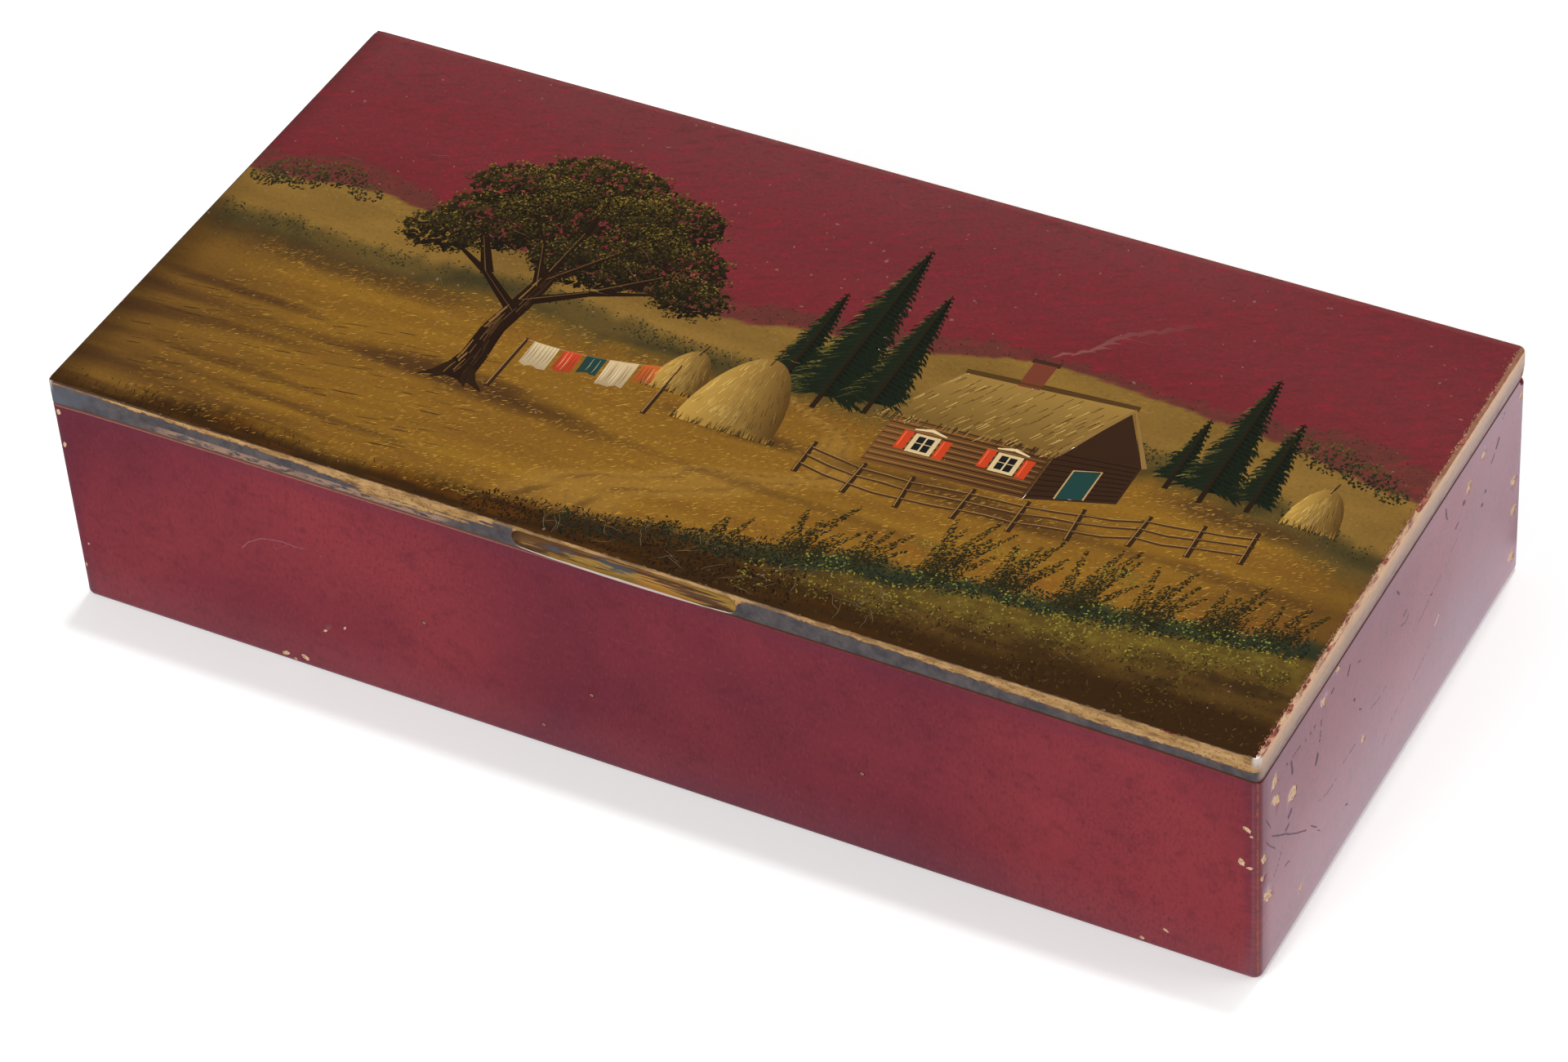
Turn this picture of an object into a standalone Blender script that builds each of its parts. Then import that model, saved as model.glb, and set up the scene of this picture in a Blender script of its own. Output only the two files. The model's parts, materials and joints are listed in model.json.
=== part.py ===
"""Lacquered papier-mache box with a flat hinged lid, in metres, +Z up.

The origin is the middle of the underside. X runs along the box, Y from the
front to the hinge and Z up. The lid turns on a wire pin inside a barrel of
rolled straps, which lies in a groove shared by the lid and the back wall.
"""

import math

import bmesh
import bpy

# Outside of the box
BOX_LENGTH = 0.210
BOX_DEPTH = 0.102
BOX_HEIGHT = 0.046
CORNER_RADIUS = 0.0015
FOOT_EDGE_RADIUS = 0.0012

# Lid board
LID_THICKNESS = 0.00475
LID_EDGE_RADIUS = 0.0008
SEAM_GAP = 0.0003

# Thumb grip in the lid's front edge
GRIP_LENGTH = 0.039
GRIP_RADIUS = 0.0017
GRIP_DEPTH = 0.0009
NOSE_PROUD = 0.0005
NOSE_HEIGHT = 0.0008

# Walls, floor and lining
WALL_THICKNESS = 0.005
FLOOR_THICKNESS = 0.004
FLOOR_REBATE = 0.0025
LINER_THICKNESS = 0.0012
LINER_EDGE = 0.0002
LIP_HEIGHT = 0.0015
LIP_CLEARANCE = 0.0003
LID_BACK_RAIL = 0.011

# Hinge
PIN_RADIUS = 0.001
PIN_CHAMFER = 0.0002
PIN_INSET = 0.0011
STRAP_THICKNESS = 0.0005
STRAP_TAIL = 0.007
STRAP_END_GAP = 0.00015
KNUCKLE_COUNT = 13
KNUCKLE_GAP = 0.00025
BARREL_INSET = 0.002
RUNNING_GAP = 0.0001
GROOVE_CLEARANCE = 0.0002

# Thickness of the glue between pieces that are stuck together
GLUE_LINE = 0.0001

# Smoothness of round stretches
CORNER_STEPS = 6
EDGE_STEPS = 4
EYE_STEPS = 28
ROUND_STEPS = 32
SHARP_ANGLE = math.radians(35)
CUT_OVERRUN = 0.002

# Places that follow from the sizes above
FRONT_Y = -BOX_DEPTH / 2
BACK_Y = BOX_DEPTH / 2
LID_Z = BOX_HEIGHT - LID_THICKNESS
RIM_Z = LID_Z - SEAM_GAP
AXIS_Y = BACK_Y - PIN_INSET
AXIS_Z = (LID_Z + RIM_Z) / 2
EYE_INNER = PIN_RADIUS + RUNNING_GAP
EYE_OUTER = EYE_INNER + STRAP_THICKNESS
GROOVE_RADIUS = EYE_OUTER + GROOVE_CLEARANCE
LINER_OUTSET = WALL_THICKNESS + GLUE_LINE
LINER_X = BOX_LENGTH / 2 - LINER_OUTSET
LINER_Y = BOX_DEPTH / 2 - LINER_OUTSET
RECESS_BACK_Y = BACK_Y - LID_BACK_RAIL

LACQUER_RED = (0.165, 0.022, 0.032)
PAINTED_LID = (0.200, 0.075, 0.030)
LINING_RED = (0.230, 0.030, 0.022)
BRASS = (0.560, 0.390, 0.150)
IRON_WIRE = (0.300, 0.290, 0.280)


def clear_scene():
    """Take every object out of the open file."""
    for item in list(bpy.data.objects):
        bpy.data.objects.remove(item, do_unlink=True)


def make_material(name, colour, roughness, metallic=0.0):
    """Return a plain Principled material."""
    material = bpy.data.materials.new(name)
    material.use_nodes = True
    shader = material.node_tree.nodes["Principled BSDF"]
    shader.inputs["Base Color"].default_value = (*colour, 1.0)
    shader.inputs["Roughness"].default_value = roughness
    shader.inputs["Metallic"].default_value = metallic
    material.diffuse_color = (*colour, 1.0)
    return material


def mesh_from(name, bm):
    """Turn a bmesh into a smooth-shaded mesh whose faces point out."""
    bmesh.ops.recalc_face_normals(bm, faces=bm.faces)
    mesh = bpy.data.meshes.new(name)
    bm.to_mesh(mesh)
    bm.free()
    mesh.shade_smooth()
    mesh.set_sharp_from_angle(angle=SHARP_ANGLE)
    return mesh


def place(name, mesh, material, location=(0, 0, 0), rotation=(0, 0, 0), parent=None):
    """Add an object to the scene, at a place measured from its parent."""
    item = bpy.data.objects.new(name, mesh)
    bpy.context.scene.collection.objects.link(item)
    item.location = location
    item.rotation_euler = rotation
    item.parent = parent
    if material is not None:
        item.data.materials.clear()
        item.data.materials.append(material)
    return item


def place_tool(name, mesh, parent=None, location=(0, 0, 0), rotation=(0, 0, 0)):
    """Add a shape that only cuts or feeds a Boolean, and is never drawn."""
    item = place(name, mesh, None, location, rotation, parent)
    item.hide_render = True
    item.display_type = "WIRE"
    return item


def combine(target, tool, operation="DIFFERENCE"):
    """Cut a tool from a piece, or join it on."""
    step = target.modifiers.new(tool.name, "BOOLEAN")
    step.object = tool
    step.operation = operation
    step.solver = "EXACT"


def skin(name, rings, joined_ends=False):
    """Cover a row of rings with faces, closed by caps or round to the first ring."""
    bm = bmesh.new()
    rows = [[bm.verts.new(point) for point in ring] for ring in rings]
    pairs = list(zip(rows, rows[1:]))
    if joined_ends:
        pairs.append((rows[-1], rows[0]))
    for low, high in pairs:
        for i in range(len(low)):
            j = (i + 1) % len(low)
            bm.faces.new((low[i], low[j], high[j], high[i]))
    if not joined_ends:
        bm.faces.new(rows[0])
        bm.faces.new(rows[-1])
    return mesh_from(name, bm)


def plan_ring(inset, z, radius, origin=(0, 0, 0)):
    """Rounded rectangle lying `inset` inside the box's plan, at height z."""
    half_x = BOX_LENGTH / 2 - inset - radius
    half_y = BOX_DEPTH / 2 - inset - radius
    centres = ((half_x, half_y), (-half_x, half_y), (-half_x, -half_y), (half_x, -half_y))
    ring = []
    for quarter, (x, y) in enumerate(centres):
        for step in range(CORNER_STEPS + 1):
            angle = math.pi / 2 * (quarter + step / CORNER_STEPS)
            px = x + radius * math.cos(angle) - origin[0]
            py = y + radius * math.sin(angle) - origin[1]
            ring.append((px, py, z - origin[2]))
    return ring


def outer_ring(inset, z, origin=(0, 0, 0)):
    """Ring on the outside of the box, whose corners tighten as it draws in."""
    return plan_ring(inset, z, max(CORNER_RADIUS - inset, GLUE_LINE), origin)


def inner_ring(inset, z):
    """Ring on a hollow's wall, as tight at the corners as the glue line."""
    return plan_ring(inset, z, GLUE_LINE)


def edge_rounding(radius):
    """Pairs of (distance drawn in, distance from the edge) along a quarter round."""
    angles = [math.pi / 2 * step / EDGE_STEPS for step in range(EDGE_STEPS + 1)]
    return [(radius * (1 - math.cos(a)), radius * (1 - math.sin(a))) for a in angles]


def block(bm, low, high):
    """Add a rectangular block between two opposite corners."""
    size = [b - a for a, b in zip(low, high)]
    made = bmesh.ops.create_cube(bm, size=1.0)["verts"]
    bmesh.ops.scale(bm, vec=size, verts=made)
    bmesh.ops.translate(bm, vec=[(a + b) / 2 for a, b in zip(low, high)], verts=made)


def revolve(name, profile):
    """Turn (x, radius) points about the X axis into a closed solid."""
    bm = bmesh.new()
    points = [bm.verts.new((x, 0, radius)) for x, radius in profile]
    edges = [bm.edges.new(pair) for pair in zip(points, points[1:])]
    bmesh.ops.spin(
        bm,
        geom=points + edges,
        cent=(0, 0, 0),
        axis=(1, 0, 0),
        angle=math.tau,
        steps=ROUND_STEPS,
        use_merge=True,
    )
    bmesh.ops.remove_doubles(bm, verts=bm.verts, dist=1e-7)
    return mesh_from(name, bm)


def extrude_along_x(name, outline, length):
    """Solid of constant (y, z) outline, centred on x = 0."""
    ends = (-length / 2, length / 2)
    return skin(name, [[(x, y, z) for y, z in outline] for x in ends])


def knuckle_length():
    """Length of one strap along the barrel."""
    barrel = BOX_LENGTH - 2 * BARREL_INSET
    return (barrel - (KNUCKLE_COUNT - 1) * KNUCKLE_GAP) / KNUCKLE_COUNT


def knuckle_x(index):
    """Middle of the strap with this number, counted from the left end."""
    pitch = knuckle_length() + KNUCKLE_GAP
    return (index - (KNUCKLE_COUNT - 1) / 2) * pitch


def rolled_strap_outline():
    """Section of a strap rolled round the pin, its tail hanging from the front.

    The roll starts where the tail reaches the height of the pin's centre, goes
    over the top and round underneath, and stops just short of the tail.
    """
    wrap = math.tau - math.acos((EYE_INNER - STRAP_END_GAP) / EYE_OUTER)
    angles = [wrap * step / EYE_STEPS for step in range(EYE_STEPS + 1)]
    outside = [(-EYE_OUTER * math.cos(a), EYE_OUTER * math.sin(a)) for a in angles]
    inside = [(-EYE_INNER * math.cos(a), EYE_INNER * math.sin(a)) for a in reversed(angles)]
    return [(-EYE_OUTER, -STRAP_TAIL), *outside, *inside, (-EYE_INNER, -STRAP_TAIL)]


def tail_slots_mesh(name, indices):
    """Sawn slots for strap tails, about the pin's centre, one for each strap."""
    bm = bmesh.new()
    half_width = knuckle_length() / 2 + GLUE_LINE
    for index in indices:
        low = (knuckle_x(index) - half_width, -EYE_OUTER - GLUE_LINE, -STRAP_TAIL - GLUE_LINE)
        high = (knuckle_x(index) + half_width, -EYE_INNER + GLUE_LINE, 0)
        block(bm, low, high)
    return mesh_from(name, bm)


def make_groove_mesh():
    """Round groove along the whole back edge, about the pin's centre."""
    half = BOX_LENGTH / 2 + CUT_OVERRUN
    ends = [(-half, 0), (-half, GROOVE_RADIUS), (half, GROOVE_RADIUS), (half, 0)]
    return revolve("hinge_groove", ends)


def make_wall_frame(material, groove):
    """Four walls wound in one piece, rebated underneath for the floor."""
    rebate_inset = WALL_THICKNESS - FLOOR_REBATE
    rebate_top = FLOOR_THICKNESS + GLUE_LINE
    rings = [outer_ring(inset, z) for inset, z in reversed(edge_rounding(FOOT_EDGE_RADIUS))]
    rings.append(outer_ring(0, RIM_Z))
    rings.append(inner_ring(WALL_THICKNESS, RIM_Z))
    rings.append(inner_ring(WALL_THICKNESS, rebate_top))
    rings.append(inner_ring(rebate_inset, rebate_top))
    rings.append(inner_ring(rebate_inset, 0))
    walls = place("wall_frame", skin("wall_frame", rings, joined_ends=True), material)
    axis = (0, AXIS_Y, AXIS_Z)
    slots = tail_slots_mesh("wall_tail_slots", range(0, KNUCKLE_COUNT, 2))
    combine(walls, place_tool("wall_groove_cut", groove, location=axis))
    combine(walls, place_tool("wall_slot_cut", slots, location=axis))


def make_floor_board(material):
    """Board glued up into the walls' rebate, flush underneath."""
    inset = WALL_THICKNESS - FLOOR_REBATE + GLUE_LINE
    rings = [inner_ring(inset, 0), inner_ring(inset, FLOOR_THICKNESS)]
    place("floor_board", skin("floor_board", rings), material)


def make_liner(name, length, lip, material, location, turn):
    """Thin strip lining one wall, mitred at both ends.

    Its outer face lies on y = 0 and it runs from x = 0 to its length. `lip` is
    the stretch that stands above the rim, as (start, end), or None.
    """
    foot = FLOOR_THICKNESS + GLUE_LINE
    mitre_gap = GLUE_LINE
    outline = [(0, foot), (length, foot), (length, RIM_Z), (0, RIM_Z)]
    if lip is not None:
        top = RIM_Z + LIP_HEIGHT
        start, end = lip
        outline = [(0, foot), (length, foot)]
        outline += [(length, top)] if end == length else [(length, RIM_Z), (end, RIM_Z), (end, top)]
        outline += [(0, top)] if start == 0 else [(start, top), (start, RIM_Z), (0, RIM_Z)]

    def drawn_in(x, depth):
        if x == 0:
            return x + depth + mitre_gap
        if x == length:
            return x - depth - mitre_gap
        return x

    faces = [[(drawn_in(x, depth), depth, z) for x, z in outline] for depth in (0, LINER_THICKNESS)]
    strip = place(name, skin(name, faces), material, location, (0, 0, turn))
    easing = strip.modifiers.new("eased_edges", "BEVEL")
    easing.width = LINER_EDGE
    easing.segments = 2
    easing.limit_method = "ANGLE"
    easing.angle_limit = SHARP_ANGLE


def make_liners(material):
    """Lining of the four walls, whose front and sides stand up as a dust lip."""
    long_side = 2 * LINER_X
    short_side = 2 * LINER_Y
    lip_run = RECESS_BACK_Y - LIP_CLEARANCE + LINER_Y
    quarter = math.pi / 2
    front = (-LINER_X, -LINER_Y, 0)
    right = (LINER_X, -LINER_Y, 0)
    back = (LINER_X, LINER_Y, 0)
    left = (-LINER_X, LINER_Y, 0)
    make_liner("liner_front", long_side, (0, long_side), material, front, 0)
    make_liner("liner_right", short_side, (0, lip_run), material, right, quarter)
    make_liner("liner_back", long_side, None, material, back, 2 * quarter)
    left_lip = (short_side - lip_run, short_side)
    make_liner("liner_left", short_side, left_lip, material, left, 3 * quarter)


def make_lid_board(material, axis, groove):
    """Flat lid board, hollowed underneath and scooped at the front for the thumb."""
    origin = (0, AXIS_Y, AXIS_Z)
    rings = [outer_ring(0, LID_Z, origin)]
    for inset, drop in edge_rounding(LID_EDGE_RADIUS):
        rings.append(outer_ring(inset, BOX_HEIGHT - drop, origin))
    lid = place("lid_board", skin("lid_board", rings), material, parent=axis)

    combine(lid, place_tool("thumb_nose", make_nose_mesh(), axis), "UNION")
    combine(lid, place_tool("thumb_scoop", make_scoop_mesh(), axis, scoop_centre()))
    combine(lid, place_tool("lid_recess", make_recess_mesh(), axis))
    combine(lid, place_tool("lid_groove_cut", groove, axis))
    slots = tail_slots_mesh("lid_tail_slots", range(1, KNUCKLE_COUNT, 2))
    combine(lid, place_tool("lid_slot_cut", slots, axis, rotation=(-math.pi / 2, 0, 0)))


def make_nose_mesh():
    """Shallow bow standing proud of the lid's front edge, from the pin's centre."""
    half = GRIP_LENGTH / 2
    radius = (half**2 + NOSE_PROUD**2) / (2 * NOSE_PROUD)
    reach = math.asin(half / radius)
    front = FRONT_Y - AXIS_Y
    centre = front - NOSE_PROUD + radius
    angles = [reach * (2 * step / ROUND_STEPS - 1) for step in range(ROUND_STEPS + 1)]
    outline = [(radius * math.sin(a), centre - radius * math.cos(a)) for a in angles]
    outline += [(half, front + GRIP_DEPTH), (-half, front + GRIP_DEPTH)]
    low = LID_Z - AXIS_Z
    high = low + NOSE_HEIGHT + GRIP_RADIUS
    return skin("thumb_nose", [[(x, y, z) for x, y in outline] for z in (low, high)])


def scoop_centre():
    """Centre of the round scoop, from the pin's centre.

    The scoop reaches its full depth behind the lid's front face, and its lower
    edge meets the nose at the nose's height.
    """
    ahead = GRIP_RADIUS - GRIP_DEPTH
    rise = math.sqrt(GRIP_RADIUS**2 - (ahead - NOSE_PROUD) ** 2)
    return (0, FRONT_Y - ahead - AXIS_Y, LID_Z + NOSE_HEIGHT + rise - AXIS_Z)


def make_scoop_mesh():
    """Round bar with ball ends, as long at the lid's face as the grip."""
    ahead = GRIP_RADIUS - GRIP_DEPTH
    straight = GRIP_LENGTH / 2 - math.sqrt(GRIP_RADIUS**2 - ahead**2)
    quarter = ROUND_STEPS // 4
    angles = [math.pi / 2 * step / quarter for step in range(quarter + 1)]
    ball = [(straight + GRIP_RADIUS * math.cos(a), GRIP_RADIUS * math.sin(a)) for a in angles]
    profile = ball + [(-x, radius) for x, radius in reversed(ball)]
    return revolve("thumb_scoop", profile)


def make_recess_mesh():
    """Hollow in the lid's underside that takes the dust lip, from the pin's centre."""
    side = LINER_X + LIP_CLEARANCE
    front = -LINER_Y - LIP_CLEARANCE
    top = RIM_Z + LIP_HEIGHT + LIP_CLEARANCE
    bm = bmesh.new()
    low = (-side, front - AXIS_Y, LID_Z - CUT_OVERRUN - AXIS_Z)
    high = (side, RECESS_BACK_Y - AXIS_Y, top - AXIS_Z)
    block(bm, low, high)
    return mesh_from("lid_recess", bm)


def make_hinge(brass, wire, lid_axis):
    """Barrel of rolled straps, held in turn by the walls and the lid, on one pin."""
    strap = extrude_along_x("rolled_strap", rolled_strap_outline(), knuckle_length())
    for index in range(KNUCKLE_COUNT):
        number = index // 2 + 1
        if index % 2 == 0:
            place(f"case_knuckle_{number}", strap, brass, (knuckle_x(index), AXIS_Y, AXIS_Z))
        else:
            turned = (-math.pi / 2, 0, 0)
            place(f"lid_knuckle_{number}", strap, brass, (knuckle_x(index), 0, 0), turned, lid_axis)
    end = BOX_LENGTH / 2 - BARREL_INSET
    tip = [(end, 0), (end, PIN_RADIUS - PIN_CHAMFER), (end - PIN_CHAMFER, PIN_RADIUS)]
    profile = tip + [(-x, radius) for x, radius in reversed(tip)]
    place("hinge_pin", revolve("hinge_pin", profile), wire, (0, AXIS_Y, AXIS_Z))


def main():
    """Build the box closed."""
    clear_scene()
    lacquer = make_material("red_lacquer", LACQUER_RED, 0.3)
    painted = make_material("painted_lid", PAINTED_LID, 0.3)
    lining = make_material("lining_lacquer", LINING_RED, 0.4)
    brass = make_material("brass", BRASS, 0.35, 1.0)
    wire = make_material("iron_wire", IRON_WIRE, 0.4, 1.0)

    lid_axis = bpy.data.objects.new("lid_axis", None)
    bpy.context.scene.collection.objects.link(lid_axis)
    lid_axis.location = (0, AXIS_Y, AXIS_Z)

    groove = make_groove_mesh()
    make_wall_frame(lacquer, groove)
    make_floor_board(lacquer)
    make_liners(lining)
    make_lid_board(painted, lid_axis, groove)
    make_hinge(brass, wire, lid_axis)
    bpy.context.view_layer.update()


main()
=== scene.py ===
"""Lacquered box with a painted, hinged lid: the finished look of each surface.

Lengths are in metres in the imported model's frame: X runs along the box, Y from
the front to the hinge and Z up, from the middle of the underside. The picture
is laid out in millimetres from the lid's front left corner: `u` along the
front and `v` towards the hinge.
"""

import json
import logging
import math
import random
from collections.abc import Callable, Iterable, Sequence
from dataclasses import dataclass, field
from enum import Enum

import bmesh
import bpy
from mathutils import Matrix, Vector, noise


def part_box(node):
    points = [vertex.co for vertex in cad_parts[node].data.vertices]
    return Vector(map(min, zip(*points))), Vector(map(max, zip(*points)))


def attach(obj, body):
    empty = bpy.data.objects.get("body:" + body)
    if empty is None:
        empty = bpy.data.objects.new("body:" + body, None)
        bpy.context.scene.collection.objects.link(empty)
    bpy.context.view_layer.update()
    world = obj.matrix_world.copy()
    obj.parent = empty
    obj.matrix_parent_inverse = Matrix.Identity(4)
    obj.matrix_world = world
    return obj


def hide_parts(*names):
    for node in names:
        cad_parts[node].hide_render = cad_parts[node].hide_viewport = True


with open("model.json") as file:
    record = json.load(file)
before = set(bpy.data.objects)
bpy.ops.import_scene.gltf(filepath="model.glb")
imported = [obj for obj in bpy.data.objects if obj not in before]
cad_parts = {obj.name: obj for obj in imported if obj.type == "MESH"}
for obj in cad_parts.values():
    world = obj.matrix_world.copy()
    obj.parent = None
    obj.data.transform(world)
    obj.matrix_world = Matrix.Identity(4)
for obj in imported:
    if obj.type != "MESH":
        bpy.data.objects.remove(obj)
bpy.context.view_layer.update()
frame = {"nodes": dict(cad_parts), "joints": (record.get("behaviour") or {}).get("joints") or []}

log = logging.getLogger("lacquered_box")

MM = 0.001
Colour = tuple[float, float, float]
Point = tuple[float, float, float]
Spot = tuple[float, float]
Socket = bpy.types.NodeSocket
Place = Callable[[float, float, float], Vector]
Line = Callable[[float], float]
Light = Callable[[float, float], float]

CASE_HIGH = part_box("wall_frame")[1]
LID_LOW, LID_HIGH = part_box("lid_board")
HALF_X = CASE_HIGH.x
HALF_Y = CASE_HIGH.y
RIM_Z = CASE_HIGH.z
LID_Z = LID_LOW.z
TOP_Z = LID_HIGH.z
JOINT = next(joint for joint in frame["joints"] if joint["name"] == "lid_hinge")
AXIS = Vector(JOINT["pos_m"])
SHARP_ANGLE = math.radians(38)
STROKE_ANGLE = math.radians(50)
DAB_ANGLE = math.radians(60)
VARNISH_VEIL = 0.006
DARKEST_PAINT = 0.003
NOISE_LAYERS = 3
CRACK_BEND = 0.8 * MM
PAINT = "paint"
SEAM_BOW = 0.55 * MM
SEAM_BOW_POWER = 10
FRONT_WALL = (HALF_Y - 5.35 * MM, HALF_Y - 5.05 * MM)
GROOVE_RADIUS = 1.8 * MM


def seen(red: float, green: float, blue: float) -> Colour:
    """Turn a colour as the eye reads it, from 0 to 255, into linear light."""
    shares = (red / 255, green / 255, blue / 255)
    return tuple(c / 12.92 if c <= 0.04045 else ((c + 0.055) / 1.055) ** 2.4 for c in shares)


def under_varnish(red: float, green: float, blue: float) -> Colour:
    """Return the paint that reads as a colour through a glossy varnish.

    Args:
        red: Red as the eye reads it, from 0 to 255.
        green: Green likewise.
        blue: Blue likewise.

    Returns:
        The paint's own colour in linear light.
    """
    return tuple(max(c - VARNISH_VEIL, DARKEST_PAINT) for c in seen(red, green, blue))


def smooth(value: float, low: float, high: float) -> float:
    """Return a smooth step from 0 at `low` to 1 at `high`, which may be the lower one."""
    share = min(1.0, max(0.0, (value - low) / (high - low)))
    return share * share * (3 - 2 * share)


def blended(amount: float, under: Sequence[float], over: Sequence[float]) -> Colour:
    """Return a tone between two, by an amount from 0 to 1."""
    return tuple(a + (b - a) * amount for a, b in zip(under, over))


class Slot(Enum):
    """Material slots of the record, by name."""

    WALLS = "lacquered_board"
    LID = "painted_board"
    BRASS = "brass"


class Body(Enum):
    """The two bodies that the hinge joins."""

    CASE = "case"
    LID = "lid"


# Nodes


class Value:
    """A value inside a node tree; the usual signs write nodes for numbers."""

    def __init__(self, desk: "Desk", socket: Socket) -> None:
        """Hold a node's output and the desk that it is on."""
        self.desk = desk
        self.socket = socket

    def __add__(self, other: "Input") -> "Value":
        """Return the sum."""
        return self.desk.math("ADD", self, other)

    def __mul__(self, other: "Input") -> "Value":
        """Return the product."""
        return self.desk.math("MULTIPLY", self, other)

    def __sub__(self, other: "Input") -> "Value":
        """Return the difference."""
        return self.desk.math("SUBTRACT", self, other)

    def __radd__(self, other: "Input") -> "Value":
        """Return the sum with a plain number in front."""
        return self.desk.math("ADD", other, self)

    def __rsub__(self, other: "Input") -> "Value":
        """Return the difference from a plain number."""
        return self.desk.math("SUBTRACT", other, self)


Input = Value | Socket | float | tuple


class Desk:
    """Writes a node tree as short calls that take and return values."""

    def __init__(self, tree: bpy.types.NodeTree) -> None:
        """Work on a tree."""
        self.tree = tree

    def node(self, kind: str, **settings: object) -> bpy.types.Node:
        """Add a node and give it settings.

        Args:
            kind: Type of the node.
            settings: The node's own settings.

        Returns:
            The node.
        """
        made = self.tree.nodes.new(kind)
        for key, value in settings.items():
            setattr(made, key, value)
        return made

    def feed(self, socket: Socket, value: Input) -> None:
        """Link a socket to another node's output, or set its own value.

        Args:
            socket: The input.
            value: An output or a plain value; a colour may come without its alpha.
        """
        if isinstance(value, Value):
            value = value.socket
        if isinstance(value, Socket):
            self.tree.links.new(value, socket)
        elif isinstance(value, tuple) and socket.type == "RGBA" and len(value) == 3:
            socket.default_value = (*value, 1.0)
        else:
            socket.default_value = value

    def wire(
        self,
        kind: str,
        inputs: dict[str | int, Input],
        out: str | int = 0,
        **settings: object,
    ) -> Value:
        """Add a node, feed it and return one of its outputs.

        Args:
            kind: Type of the node.
            inputs: Values by the inputs' names or numbers.
            out: Name or number of the output.
            settings: The node's own settings.

        Returns:
            The output, as a value.
        """
        made = self.node(kind, **settings)
        for key, value in inputs.items():
            self.feed(made.inputs[key], value)
        return Value(self, made.outputs[out])

    def math(self, operation: str, *values: Input, clamp: bool = False) -> Value:
        """Return the result of a sum on one, two or three numbers."""
        inputs = dict(enumerate(values))
        return self.wire("ShaderNodeMath", inputs, operation=operation, use_clamp=clamp)

    def chain(self, operation: str, values: Sequence[Input]) -> Input:
        """Run one kind of sum through several numbers.

        Args:
            operation: The kind of sum.
            values: The numbers, in order.

        Returns:
            The last result.
        """
        total = values[0]
        for value in values[1:]:
            total = self.math(operation, total, value)
        return total

    def add(self, *values: Input) -> Input:
        """Return the sum of several numbers."""
        return self.chain("ADD", values)

    def times(self, *values: Input) -> Input:
        """Return the product of several numbers."""
        return self.chain("MULTIPLY", values)

    def least(self, *values: Input) -> Input:
        """Return the smallest of several numbers."""
        return self.chain("MINIMUM", values)

    def most(self, *values: Input) -> Input:
        """Return the largest of several numbers."""
        return self.chain("MAXIMUM", values)

    def rise(self, value: Input, low: float, high: float) -> Value:
        """Return a smooth step from 0 at `low` to 1 at `high`, which may be the lower one.

        Args:
            value: The number.
            low: Where the step begins.
            high: Where it ends.

        Returns:
            The step's height.
        """
        ends = (0.0, 1.0) if low < high else (1.0, 0.0)
        inputs = {"Value": value, "From Min": min(low, high), "From Max": max(low, high)}
        inputs |= {"To Min": ends[0], "To Max": ends[1]}
        return self.wire("ShaderNodeMapRange", inputs, interpolation_type="SMOOTHSTEP")

    def band(self, value: Input, low: float, high: float, soft: float) -> Input:
        """Return 1 between two limits and 0 outside, with soft ends."""
        return self.times(self.rise(value, low - soft, low), self.rise(value, high + soft, high))

    def split(self, vector: Input) -> tuple[Value, Value, Value]:
        """Return a vector's three parts.

        Args:
            vector: The vector.

        Returns:
            Its X, Y and Z.
        """
        made = self.node("ShaderNodeSeparateXYZ")
        self.feed(made.inputs[0], vector)
        return tuple(Value(self, part) for part in made.outputs)

    def join(self, x: Input = 0.0, y: Input = 0.0, z: Input = 0.0) -> Value:
        """Return a vector made of three parts."""
        return self.wire("ShaderNodeCombineXYZ", {0: x, 1: y, 2: z})

    def mix(self, amount: Input, under: Input, over: Input, blend: str = "MIX") -> Value:
        """Lay one colour over another by an amount from 0 to 1."""
        inputs = {0: amount, 6: under, 7: over}
        return self.wire("ShaderNodeMix", inputs, 2, data_type="RGBA", blend_type=blend)

    def lay(self, under: Input, over: Input, *shares: Input) -> Value:
        """Lay one colour over another by the product of several shares from 0 to 1."""
        return self.mix(self.times(*shares), under, over)

    def swing(self, value: Value, *amounts: Input) -> Input:
        """Turn noise about one half into a swing about 0, times several numbers."""
        return self.times(value - 0.5, *amounts)

    def curve(self, value: Input, points: Sequence[Spot]) -> Value:
        """Return a smooth function of a number, through (number, result) points from 0 to 1.

        Args:
            value: The number.
            points: The points, from left to right.

        Returns:
            The function's result.
        """
        made = self.node("ShaderNodeFloatCurve")
        self.feed(made.inputs["Value"], value)
        line = made.mapping.curves[0]
        while len(line.points) < len(points):
            line.points.new(0.5, 0.5)
        for dot, spot in zip(line.points, points):
            dot.location = spot
        made.mapping.update()
        return Value(self, made.outputs[0])


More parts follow.
